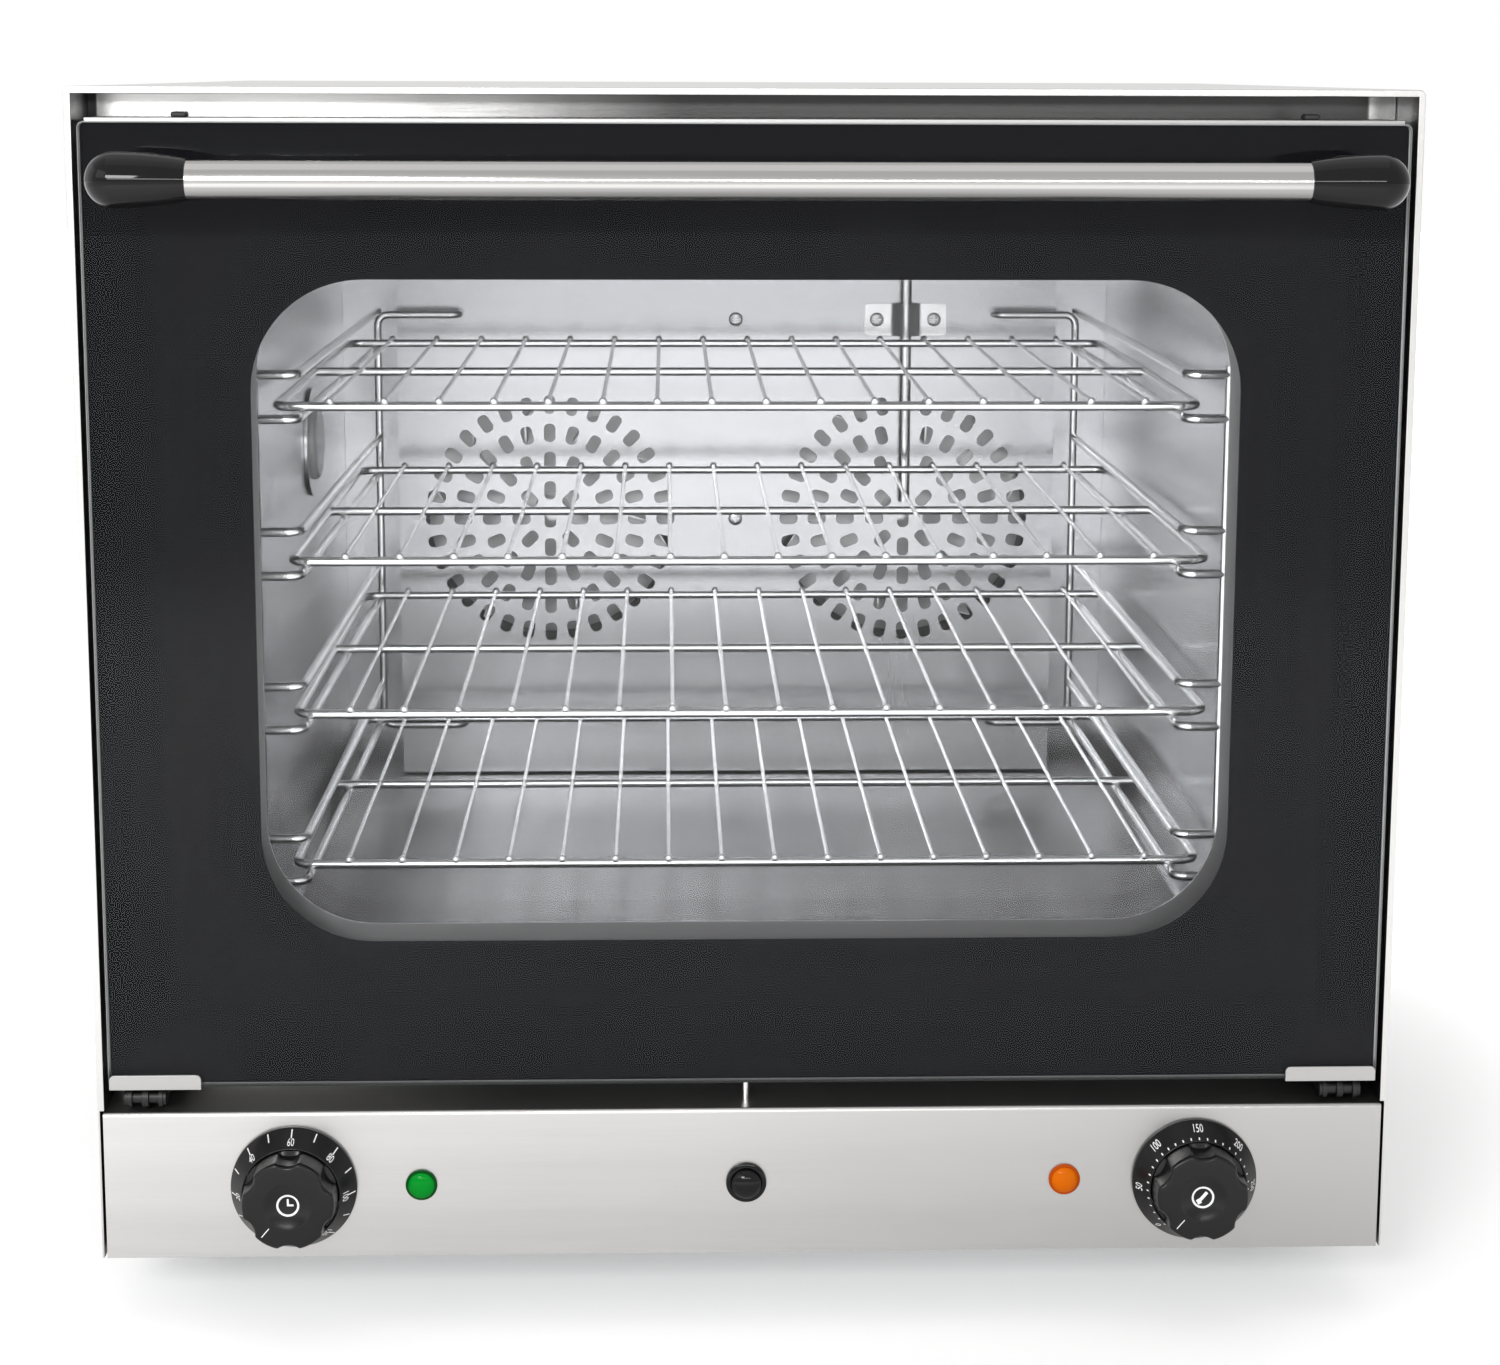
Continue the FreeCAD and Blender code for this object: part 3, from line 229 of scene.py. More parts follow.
world = bpy.data.worlds.new("studio")
world.use_nodes = True
world.node_tree.nodes.clear()
tree = Tree(world.node_tree)
seen = seen_rays(tree)
sky = tree.node("ShaderNodeBackground", Color=WHITE, Strength=seen + (1 - seen) * SKY_LIGHT)[0]
tree.node("ShaderNodeOutputWorld", Surface=sky)
bpy.context.scene.world = world

# %% Floor
FLOOR_R, PAPER_SHADE = 9.0, 0.86
NEAR_GLOW, GLOW_START, GLOW_END = 0.24, 0.32, 0.78

material, tree = new_material("studio_paper")
coordinates = tree.node("ShaderNodeTexCoord")["Object"]
distance = tree.node("ShaderNodeVectorMath", {0: coordinates}, operation="LENGTH")["Value"]
glow = NEAR_GLOW + (1 - NEAR_GLOW) * ramp(tree, distance, GLOW_START, GLOW_END)
paper = tree.node("ShaderNodeBsdfDiffuse", Color=(PAPER_SHADE,) * 3)[0]
glowing = tree.node("ShaderNodeEmission", Color=WHITE, Strength=seen_rays(tree) * glow)[0]
both = tree.node("ShaderNodeAddShader", {0: paper, 1: glowing})[0]
tree.node("ShaderNodeOutputMaterial", Surface=both)

floor = in_scene("floor", bpy.data.meshes.new("floor"))
shape = bmesh.new()
bmesh.ops.create_circle(shape, cap_ends=True, radius=FLOOR_R, segments=64)
shape.to_mesh(floor.data)
shape.free()
floor.data.materials.append(material)
print("floor radius", FLOOR_R)


# %% Soft lights
def soft_light(name, position, target, width, height, power):
    """A flat rectangular light that faces a target."""
    light = in_scene(name, bpy.data.lights.new(name, "AREA"))
    light.data.shape = "RECTANGLE"
    light.data.size = width
    light.data.size_y = height
    light.data.energy = power
    light.location = position
    light.rotation_euler = (Vector(target) - Vector(position)).to_track_quat("-Z", "Y").to_euler()


DOOR_MIDDLE = (0.0, -0.25, 0.3)
soft_light("key_light", (-0.60, -1.9, 1.0), DOOR_MIDDLE, 0.55, 0.32, 15)
soft_light("strip_light", (0.0, -2.1, 0.76), DOOR_MIDDLE, 1.5, 0.09, 8)
soft_light("fill_light", (-1.35, -1.4, 1.2), DOOR_MIDDLE, 1.1, 0.8, 4)
soft_light("side_light", (-2.0, 0.1, 0.9), (0.0, 0.0, 0.2), 1.4, 1.3, 3.5)
soft_light("top_light", (0.0, -0.3, 2.4), (0.0, 0.0, 0.3), 2.0, 1.6, 4)
print("lights:", len(bpy.data.lights))

# %% [markdown]
# ## Steel finishes
# Stainless sheet is ground with a belt, which leaves fine scratches along one way. Under a lamp
# they spread the reflection across the grain. The scratches are a noise stretched along the grain,
# which moves the roughness and the bump a little, and a slow second noise clouds the sheet.

# %% Helpers for surfaces
def finish_surface(tree, **values):
    """The usual surface shader and the material's output."""
    surface = tree.node("ShaderNodeBsdfPrincipled", **values)[0]
    tree.node("ShaderNodeOutputMaterial", Surface=surface)


def noise(tree, scale, detail=2.0, stretch=(1, 1, 1), roughness=0.5):
    """A soft noise between 0 and 1 over the piece's own coordinates, stretched along an axis."""
    coordinates = tree.node("ShaderNodeTexCoord")["Object"]
    placed = tree.node("ShaderNodeMapping", Vector=coordinates, Scale=stretch)[0]
    return tree.node("ShaderNodeTexNoise", Vector=placed, Scale=scale, Detail=detail,
                     Roughness=roughness)[0]


def mixed_colour(tree, share, first, second):
    """A colour between two others."""
    return tree.node("ShaderNodeMix", {0: share, 6: first, 7: second}, data_type="RGBA")[2]


def bumped(tree, height, distance):
    """A surface direction tilted by a height in metres."""
    return tree.node("ShaderNodeBump", Height=height, Distance=distance)[0]


def dimmed(shade, share):
    return tuple(share * part for part in shade)


def fade(tree, axis, start, end, blur=None):
    """0 at one place along an axis of the piece and 1 at another, in metres."""
    coordinates = tree.node("ShaderNodeTexCoord")["Object"]
    along = tree.node("ShaderNodeSeparateXYZ", {0: coordinates})[axis]
    return ramp(tree, along + blur if blur else along, start, end)


# %% Ground and rolled steel
ALONG_X, ALONG_Y, ALONG_Z = (0.02, 1, 1), (1, 0.02, 1), (1, 1, 0.02)
SCRATCH_SCALE, STREAK_SCALE, CLOUD_SCALE, WAVE_SCALE = 900.0, 70.0, 7.0, 5.0
SCRATCH_SHARE = 0.45


def steel(name, shade, roughness, grain, grain_depth=0.000012, clouds=0.05, wave=0.00015,
          painted_shade=None, streaked=0.14):
    """Sheet steel with a grain, slow clouds in its gloss and a slightly uneven face. Its painted
    shade is given as the share of its brightness that is left, and a function of the tree that says
    where."""
    material, tree = new_material(name)
    scratches = noise(tree, SCRATCH_SCALE, 3.0, grain, 0.7)
    streaks = noise(tree, STREAK_SCALE, 2.0, grain)
    cloud = noise(tree, CLOUD_SCALE, 3.0)
    lines = SCRATCH_SHARE * scratches + (1 - SCRATCH_SHARE) * streaks
    colour = mixed_colour(tree, lines, dimmed(shade, 1 - streaked), shade)
    # Painted shade: the colour is darkened where the mask says, standing in for shade.
    if painted_shade:
        colour = mixed_colour(tree, painted_shade[1](tree), colour, dimmed(shade, painted_shade[0]))
    rough = roughness + 0.86 * streaked * (scratches - 0.5) + clouds * (cloud - 0.5)
    height = scratches + noise(tree, WAVE_SCALE, 1.0) * (wave / grain_depth)
    finish_surface(tree, Base_Color=colour, Metallic=1.0, Roughness=rough,
                   Normal=bumped(tree, height, grain_depth))
    return material


def panel_film(tree):
    """Painted shade: the panel is a little darker towards its right end."""
    return fade(tree, "X", -0.10, 0.32, 0.08 * (noise(tree, 6.0, 2.0) - 0.5))


def face_tarnish(tree):
    """Painted shade: the beam over the door is darker from its middle to near its right end and dark
    at its left end, and the strip under the door, in shade under the door, is darker too, less so at
    its left."""
    painted_shade_wobble = 0.12 * (noise(tree, 9.0, 3.0) - 0.5)
    beam_painted_shade = fade(tree, "X", -0.23, -0.02, painted_shade_wobble) * (1 - fade(tree, "X", 0.283, 0.285))
    strip_painted_shade = fade(tree, "Z", 0.20, 0.12) * (1 - 0.4 * fade(tree, "X", -0.10, -0.24))
    dull = tree.maths("MAXIMUM", beam_painted_shade, strip_painted_shade)
    return tree.maths("MAXIMUM", dull, fade(tree, "X", -0.2918, -0.2928))


def shaded_frame(tree):
    """Painted shade: the door's frame is dark where it lies behind the glass, in shade between the
    panes, and bright at its back.
    """
    return fade(tree, "Y", -0.2117, -0.2122)


def baked_on(tree):
    """Painted shade: the chamber's floor is darker."""
    return fade(tree, "Z", 0.180, 0.158, 0.004 * noise(tree, 12.0))


def handled_side(tree):
    """Painted shade: the handle's tube is darker below its middle."""
    return fade(tree, "Z", 0.5290, 0.5278)


# The panel, face, door, chamber and handle steels carry painted shade from the masks above.
casing_steel = steel("casing_steel", (0.54, 0.535, 0.525), 0.30, ALONG_Y)
# Painted shade: a near-black steel for the casing's inside.
casing_inside = steel("casing_inside", (0.06, 0.06, 0.06), 0.36, ALONG_Y)
clip_steel = steel("clip_steel", (0.40, 0.395, 0.39), 0.42, ALONG_X)
panel_steel = steel("panel_steel", (0.58, 0.57, 0.56), 0.34, ALONG_X, streaked=0.22,
                    painted_shade=(0.66, panel_film))
face_steel = steel("face_steel", (0.80, 0.795, 0.79), 0.24, ALONG_X, clouds=0.12, wave=0.0004,
                   painted_shade=(0.07, face_tarnish))
door_steel = steel("door_steel", (0.66, 0.655, 0.65), 0.46, ALONG_X, 0.000003, 0.03, 0.00003,
                   painted_shade=(0.62, shaded_frame), streaked=0.06)
chamber_steel = steel("chamber_steel", (0.74, 0.74, 0.75), 0.24, ALONG_Z, 0.000006, 0.06,
                      painted_shade=(0.18, baked_on), streaked=0.05)
guard_steel = steel("guard_steel", (0.64, 0.64, 0.65), 0.26, ALONG_Z, 0.000001, 0.05, streaked=0.04)
handle_steel = steel("handle_steel", (0.42, 0.415, 0.405), 0.16, ALONG_X, 0.000004, 0.02, 0.00002,
                     painted_shade=(0.62, handled_side))
print("materials so far:", len(bpy.data.materials))


# %% Bright and plated metal
def plated(name, shade, roughness, spots=0.04):
    """Smooth metal whose gloss changes a little from place to place."""
    material, tree = new_material(name)
    change = noise(tree, 60.0, 3.0)
    finish_surface(tree, Base_Color=mixed_colour(tree, change, dimmed(shade, 0.9), shade),
                   Metallic=1.0, Roughness=roughness + spots * (change - 0.5),
                   Normal=bumped(tree, noise(tree, 350.0, 2.0), 0.00001))
    return material


bright_wire = plated("bright_wire", (0.95, 0.95, 0.95), 0.25)
weld_bright = plated("weld_bright", (0.97, 0.97, 0.97), 0.55)
fittings = plated("bright_fittings", (0.70, 0.70, 0.70), 0.24)
brass = plated("valve_brass", (0.72, 0.52, 0.24), 0.28)
fan_metal = plated("fan_metal", (0.78, 0.78, 0.78), 0.35, 0.1)
hinge_steel = plated("hinge_steel", (0.035, 0.035, 0.035), 0.45)
tube_steel = plated("tube_steel", (0.78, 0.78, 0.77), 0.14)
print("materials so far:", len(bpy.data.materials))

# %% [markdown]
# Zinc-coated sheet is covered in crystals, and each catches the light in its own way.

# %% Galvanised sheet
zinc, tree = new_material("zinc_sheet")
coordinates = tree.node("ShaderNodeTexCoord")["Object"]
crystals = tree.node("ShaderNodeTexVoronoi", Vector=coordinates, Scale=140.0)
tone = tree.node("ShaderNodeRGBToBW", {0: crystals["Color"]})[0]
finish_surface(tree, Base_Color=mixed_colour(tree, tone, (0.50, 0.51, 0.52), (0.63, 0.64, 0.65)),
               Metallic=1.0, Roughness=0.34 + 0.14 * tone, Normal=bumped(tree, tone, 0.00002))

# %% [markdown]
# ## Plastics, rubber, wool and glass
# Moulded plastic has a very fine texture that breaks up highlights. The door's border is black
# enamel fired on glass, and as smooth as the glass itself. Clear glass lets lamps shine through it
# to the chamber: the shadow rays pass straight on, while the eye still sees its reflections.

# %% Plastics and rubber
def moulded(name, shade, roughness, texture=0.00002, grain_scale=1800.0, **more):
    """Plastic, rubber or paint with a fine texture and faint uneven gloss."""
    material, tree = new_material(name)
    grain = noise(tree, grain_scale, 2.0)
    cloud = noise(tree, 25.0, 2.0)
    light = tuple(min(1.0, part * 1.25 + 0.002) for part in shade)
    finish_surface(tree, Base_Color=mixed_colour(tree, cloud, shade, light),
                   Roughness=roughness + 0.10 * (cloud - 0.5) + 0.05 * (grain - 0.5),
                   Normal=bumped(tree, grain, texture), **more)
    return material


black_gloss = moulded("black_gloss", (0.003, 0.003, 0.0035), 0.055, 0.000002, 300.0,
                      Specular_IOR_Level=0.2)
dial_black = moulded("dial_black", (0.004, 0.004, 0.0045), 0.24, 0.000002,
                     Specular_IOR_Level=0.26)
gasket_rubber = moulded("gasket_rubber", (0.025, 0.025, 0.025), 0.62, 0.00005, 900.0)
foot_rubber = moulded("foot_rubber", (0.020, 0.020, 0.020), 0.58, 0.00004, 1200.0)
white_print = moulded("white_print", (0.74, 0.74, 0.74), 0.45, 0.000002)
terminal_white = moulded("terminal_white", (0.80, 0.78, 0.72), 0.40)
housing_black = moulded("switch_body", (0.05, 0.05, 0.055), 0.45)
motor_paint = moulded("motor_metal", (0.14, 0.14, 0.15), 0.38, 0.00006, 700.0)
heater_sheath = moulded("heater_sheath", (0.13, 0.12, 0.11), 0.52, 0.00004, 1500.0, Metallic=0.6)
mineral_wool = moulded("mineral_wool", (0.60, 0.56, 0.40), 0.95, 0.002, 320.0)
enamel = moulded("black_print", (0.0045, 0.0045, 0.0058), 0.035, 0.0000005, 300.0,
                 Specular_IOR_Level=0.04)
lamp_cover_glass = moulded("lamp_cover_glass", (0.52, 0.52, 0.51), 0.22, 0.000004)
print("materials so far:", len(bpy.data.materials))

# %% Ground edge of the glass
glass_edge, tree = new_material("ground_glass_edge")
# Painted shade: the ground edge is darker along the pane's bottom than at its top and sides.
above_painted_bottom_shade = fade(tree, "Z", 0.118, 0.126)
finish_surface(
    tree, Roughness=0.22 + 0.1 * noise(tree, 2500.0),
    Base_Color=mixed_colour(tree, above_painted_bottom_shade, (0.06, 0.064, 0.063), (0.36, 0.37, 0.365)),
    Normal=bumped(tree, noise(tree, 2500.0), 0.00002))


# %% Coloured lenses
def lens(name, middle, edge):
    """A coloured plastic dome with a lighter middle, and painted shade towards its rim and where it
    turns away.
    """
    material, tree = new_material(name)
    facing_painted_shade = tree.node("ShaderNodeLayerWeight", Blend=0.35)["Facing"]
    share = tree.maths("MAXIMUM", facing_painted_shade, fade(tree, "Y", -0.2546, -0.2538))
    finish_surface(tree, Base_Color=mixed_colour(tree, share, middle, edge),
                   Roughness=0.06 + 0.04 * noise(tree, 400.0), Specular_IOR_Level=0.06)
    return material


green_lens = lens("green_lens", (0.0, 0.25, 0.02), (0.0, 0.06, 0.006))
orange_lens = lens("orange_lens", (0.62, 0.125, 0.0), (0.42, 0.06, 0.0))

# %% [markdown]
# The door's panes are too thin to bend what lies behind them, and only their outer faces mirror.

# %% Clear glass
door_glass, tree = new_material("door_glass")
mirrored = tree.node("ShaderNodeFresnel", IOR=1.19)[0]
outer_face = 1 - tree.node("ShaderNodeNewGeometry")["Backfacing"]
open_way = tree.node("ShaderNodeBsdfTransparent", Color=(0.98, 0.982, 0.985))[0]
mirror = tree.node("ShaderNodeBsdfGlossy", Color=WHITE, Roughness=0.0)[0]
mix = tree.node("ShaderNodeMixShader", {0: mirrored * outer_face, 1: open_way, 2: mirror})[0]
tree.node("ShaderNodeOutputMaterial", Surface=mix)
print("materials:", len(bpy.data.materials))

# %% [markdown]
# ## Sheet metal with soft edges
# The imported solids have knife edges, and real folded or cut sheet never has. Each such node is
# copied, its triangles are welded and its flat faces joined, and a narrow bevel rounds each corner.

# %% Pieces on bodies
SLOTS = {part["node"]: part["material_slot"] for part in frame["record"]["subparts"]}


def keep_object(mesh, name, body, slot, *nodes):
    """Put a finished mesh in the scene as one piece that rides on a body."""
    piece = in_scene(name, mesh)
    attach(piece, body)
    if nodes:
        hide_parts(*nodes)
    return piece


def stand_in(mesh, name, node, slot=None):
    """Put a finished mesh in a node's place and on the node's body."""
    piece = keep_object(mesh, name, frame["nodes"][node]["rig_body"], slot or SLOTS[node], node)
    print(name, len(mesh.polygons), "faces")
    return piece


# %% Copies with rounded edges
def taken_mesh(helper):
    """The plain mesh that a passing object gives with its modifiers."""
    depsgraph = bpy.context.evaluated_depsgraph_get()
    mesh = bpy.data.meshes.new_from_object(helper.evaluated_get(depsgraph))
    helper.modifiers.clear()
    bpy.data.objects.remove(helper)
    return mesh


def smooth_by_angle(mesh, degrees=35):
    """Round surfaces shade smoothly, large flat faces shade flat, and real corners stay crisp."""
    mesh.polygons.foreach_set("use_smooth", [True] * len(mesh.polygons))
    mesh.set_sharp_from_angle(angle=math.radians(degrees))
    helper = in_scene("helper", mesh)
    helper.modifiers.new("by_area", "WEIGHTED_NORMAL").keep_sharp = True
    shaded = taken_mesh(helper)
    mesh.normals_split_custom_set([corner.vector.copy() for corner in shaded.corner_normals])
    bpy.data.meshes.remove(shaded)


def bevelled(mesh, width, segments=2, angle=32):
    """A copy of a mesh whose corners are rounded by width, in millimetres."""
    helper = in_scene("helper", mesh)
    bevel = helper.modifiers.new("soft_edges", "BEVEL")
    bevel.width = width * MM
    bevel.segments = segments
    bevel.limit_method = "ANGLE"
    bevel.angle_limit = math.radians(angle)
    result = taken_mesh(helper)
    smooth_by_angle(result)
    return result


def welded_copy(node, material, unwanted=None):
    """A node's mesh with its triangles welded and its flat faces joined, less what isn't wanted."""
    mesh = frame["nodes"][node].data.copy()
    shape = bmesh.new()
    shape.from_mesh(mesh)
    bmesh.ops.remove_doubles(shape, verts=shape.verts, dist=0.00002)
    if unwanted:
        points = [vertex for vertex in shape.verts if unwanted(vertex.co)]
        bmesh.ops.delete(shape, geom=points, context="VERTS")
    bmesh.ops.dissolve_limit(shape, angle_limit=math.radians(1.0), verts=shape.verts,
                             edges=shape.edges)
    shape.to_mesh(mesh)
    shape.free()
    mesh.materials.clear()
    mesh.materials.append(material)
    return mesh


SHEET_PARTS = [
    (casing_steel, 0.35, "outer_casing"), (panel_steel, 0.3, "control_panel"),
    (face_steel, 0.3, "front_frame"), (zinc, 0.35, "back_panel"), (zinc, 0.3, "base_pan"),
    (chamber_steel, 0.3, "cavity_liner"), (door_steel, 0.3, "door_frame"),
    (clip_steel, 0.6, "glass_clips"),
    (hinge_steel, 0.3, "hinge_bracket_left", "hinge_bracket_right", "hinge_arm_left",
     "hinge_arm_right"),
    (foot_rubber, 1.2, "feet"), (brass, 0.5, "water_valve"), (dial_black, 0.5, "cable_gland"),
    (chamber_steel, 0.4, "vent_pipe", "lamp_holder"), (terminal_white, 0.5, "terminal_block"),
    (motor_paint, 1.0, "fan_motor_left", "fan_motor_right"), (gasket_rubber, 1.2, "door_gasket"),
    (housing_black, 0.3, "pilot_housings"),
]
for material, width, *nodes in SHEET_PARTS:
    for node in nodes:
        stand_in(bevelled(welded_copy(node, material), width), node + "_finished", node)

# %% The casing's inside, painted dark as shade
casing = bpy.data.objects["outer_casing_finished"].data
casing.materials.append(casing_inside)
# Painted shade: the casing's inward faces get the near-black steel, standing in for the shade inside
# the casing.
for face in casing.polygons:
    if face.normal.x * face.center.x < -0.5 * abs(face.center.x):
        face.material_index = 1
print("dull faces:", sum(face.material_index for face in casing.polygons))

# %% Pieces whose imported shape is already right
KEPT_PARTS = [
    (mineral_wool, "insulation_blanket"), (tube_steel, "steam_tube"),
    (lamp_cover_glass, "lamp_glass"), (door_glass, "inner_glass"),
    (fan_metal, "fan_left", "fan_right"),
    (heater_sheath, "heating_ring_left", "heating_ring_right"),
    (fittings, "door_rest_pin", "timer_shaft", "thermostat_shaft", "fan_shaft_left",
     "fan_shaft_right"),
]
for material, *nodes in KEPT_PARTS:
    for node in nodes:
        mesh = frame["nodes"][node].data
        mesh.materials.clear()
        mesh.materials.append(material)
print("kept shapes:", sum(len(row) - 1 for row in KEPT_PARTS))

# %% [markdown]
# ## The button's spring
# A coil stands between the steam button and the back of its housing.

mesh = welded_copy("button_spring", fittings)
smooth_by_angle(mesh, 50)
coil = stand_in(mesh, "button_coil", "button_spring")
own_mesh(coil)

# %% [markdown]
# ## Geometry Nodes pieces
# The shelves, the runners, the guard's slots and the screws all follow simple rules, so a tree of
# geometry nodes draws each from a few named sizes. The result is taken as a plain mesh.

# %% Trees with named inputs
def geometry_tree(name, *floats, **others):
    """A geometry tree with named inputs: floats, and others by their kind. Gives its inputs too."""
    group = bpy.data.node_groups.new(name, "GeometryNodeTree")
    kinds = {"Geometry": "Geometry", **{label: "Float" for label in floats}, **others,
             "Material": "Material"}
    for label, kind in kinds.items():
        group.interface.new_socket(label, in_out="INPUT", socket_type="NodeSocket" + kind)
    group.interface.new_socket("Geometry", in_out="OUTPUT", socket_type="NodeSocketGeometry")
    tree = Tree(group)
    return tree, tree.node("NodeGroupInput")


def finish_tree(tree, given, geometry):
    """End a tree the way the export needs: real meshes with a material."""
    real = tree.geo("RealizeInstances", Geometry=geometry)
    painted = tree.geo("SetMaterial", Geometry=real, Material=given["Material"])
    tree.node("NodeGroupOutput", Geometry=painted)


def grown(tree, name, material, start=None, **values):
    """Run a tree on a mesh and give the plain mesh that it makes."""
    values["Material"] = material
    helper = in_scene(name, start or bpy.data.meshes.new(name))
    modifier = helper.modifiers.new(name, "NODES")
    modifier.node_group = tree.nodes
    for item in tree.nodes.interface.items_tree:
        key = item.name.replace(" ", "_")
        if item.in_out == "INPUT" and key in values:
            modifier[item.identifier] = values[key]
    mesh = taken_mesh(helper)
    mesh.name = name
    mesh.materials.clear()
    mesh.materials.append(material)
    mesh.polygons.foreach_set("material_index", [0] * len(mesh.polygons))
    return mesh


def lines_mesh(name, paths):
    """A mesh of loose edges, one chain for each list of points."""
    points, edges = [], []
    for path in paths:
        edges += [(len(points) + step, len(points) + step + 1) for step in range(len(path) - 1)]
        points += [tuple(point) for point in path]
    mesh = bpy.data.meshes.new(name)
    mesh.from_pydata(points, edges, [])
    return mesh


def swept(tree, curve, radius, sides):
    """A round bar along a curve."""
    section = tree.geo("CurvePrimitiveCircle", Resolution=sides, Radius=radius)
    return tree.geo("CurveToMesh", Curve=curve, Profile_Curve=section, Fill_Caps=True)


# %% [markdown]
# ## The runners at the chamber's sides
# Each side frame is bent from 4.5 mm chromed rod: a front post, a back post whose ends hook into
# the guard, and four pairs of runners. The tree takes their middle lines, rounds every bend and
# sweeps a round section along them.

# %% A tree that bends rod
bent_rod, given = geometry_tree("bent_rod", "Rod radius", "Bend radius")
line = bent_rod.geo("MeshToCurve", Mesh=given["Geometry"])
rounded = bent_rod.geo("FilletCurve", mode="POLY", Curve=line, Count=6, Limit_Radius=True,
                       Radius=given["Bend radius"])
finish_tree(bent_rod, given, swept(bent_rod, rounded, given["Rod radius"], 14))

# %% Runner frames
ROD_R = 2.25
LEVELS, LEVEL_PITCH, LOWEST_RUNNER, RUNNER_GAP = 4, 74.4, 158.5, 21.0
RUNNER_X, RUNNER_BEND = 209.0, 6.3
FRONT_POST, BACK_POST, POST_OVERHANG = (229.0, 71.0), (206.0, 415.0), 4.0
HOOK_X, HOOK_END_Y, HOOK_BELOW_TOP, HOOK_UNDER_LOWEST = 158.0, 434.0, 2.0, 5.0


def runner_frame(side):
    """The middle lines of one side's posts and runners."""
    highest = LOWEST_RUNNER + (LEVELS - 1) * LEVEL_PITCH + RUNNER_GAP
    hook_top, hook_bottom = highest - HOOK_BELOW_TOP, LOWEST_RUNNER - HOOK_UNDER_LOWEST
    (front_x, front_y), (back_x, back_y) = FRONT_POST, BACK_POST
    hook = [(HOOK_X, HOOK_END_Y), (HOOK_X, back_y), (back_x, back_y)]
    paths = [
        [(front_x, front_y, z) for z in (LOWEST_RUNNER - POST_OVERHANG, highest + POST_OVERHANG)],
        [(x, y, hook_top) for x, y in hook] + [(x, y, hook_bottom) for x, y in reversed(hook)],
    ]
    for level in range(LEVELS):
        low = LOWEST_RUNNER + level * LEVEL_PITCH
        for z in (low, low + RUNNER_GAP):
            paths.append([(front_x, front_y, z), (RUNNER_X, front_y, z), (back_x, back_y, z)])
    return [[place(side * x, y, z) for x, y, z in path] for path in paths]


for side, word in ((-1, "left"), (1, "right")):
    mesh = grown(bent_rod, "runners_" + word, bright_wire,
                 lines_mesh("runner_lines_" + word, runner_frame(side)),
                 Rod_radius=ROD_R * MM, Bend_radius=RUNNER_BEND * MM)
    smooth_by_angle(mesh)
    stand_in(mesh, "runners_" + word, "rack_frame_" + word)

# %% [markdown]
# ## The wire shelves
# A shelf is a closed frame of 4.5 mm rod with one rod across its middle, and sixteen thinner wires
# sunk a little into it by the weld. Each wire's end is pressed flat and shows as a bright bead.

# %% A tree that makes a shelf
BEAD_SWELL, BEAD_FLATNESS = 1.7, 0.75

tree, given = geometry_tree("wire_shelf", "Width", "Depth", "Rod radius", "Wire radius", "Corner",
                            "Overhang", Middle="Vector", Wires="Int")
wire_shelf = tree


def joined(tree, *parts):
    """Several geometries as one."""
    return tree.geo("JoinGeometry", Geometry=list(parts))


def oblong(tree, width, height):
    """An oblong curve round the origin."""
    return tree.geo("CurvePrimitiveQuadrilateral", mode="RECTANGLE", Width=width, Height=height)


outline = tree.geo("FilletCurve", mode="POLY", Curve=oblong(tree, given["Width"], given["Depth"]),
                   Count=6, Radius=given["Corner"])
half = given["Width"] * 0.5
cross = tree.geo("CurvePrimitiveLine", Start=tree.vector(0 - half, 0.0, 0.0),
                 End=tree.vector(half, 0.0, 0.0))
rods = joined(tree, *(swept(tree, path, given["Rod radius"], 14) for path in (outline, cross)))
height = given["Rod radius"] + given["Wire radius"] * 0.2
reach = given["Depth"] * 0.5 + given["Overhang"]
wire_line = tree.geo("CurvePrimitiveLine", Start=tree.vector(0.0, 0 - reach, height),
                     End=tree.vector(0.0, reach, height))
bead = tree.geo("MeshUVSphere", Segments=16, Rings=10, Radius=given["Wire radius"] * BEAD_SWELL)
beads = tree.geo("InstanceOnPoints", Points=tree.geo("CurveToPoints", Curve=wire_line, Count=2),
                 Instance=bead, Scale=(1.0, BEAD_FLATNESS, 1.0))
one_wire = joined(tree, swept(tree, wire_line, given["Wire radius"], 10), beads)
pitch = given["Width"] / (given["Wires"] + 1)
row = tree.geo("MeshLine", Count=given["Wires"], Offset=tree.vector(pitch, 0.0, 0.0),
               Start_Location=tree.vector(pitch - half, 0.0, 0.0))
wires = tree.geo("InstanceOnPoints", Points=row, Instance=one_wire)
finish_tree(tree, given, tree.geo("Transform", Geometry=joined(tree, rods, wires),
                                  Translation=given["Middle"]))

# %% Four shelves
WIRE_R, SHELF_WIRES, SHELF_OVERHANG, SHELF_CORNER = 1.15, 16, 1.5, 9.0
BEAD_ABOVE_FRAME, BEAD_BEHIND_ROD = 4.2, 0.4

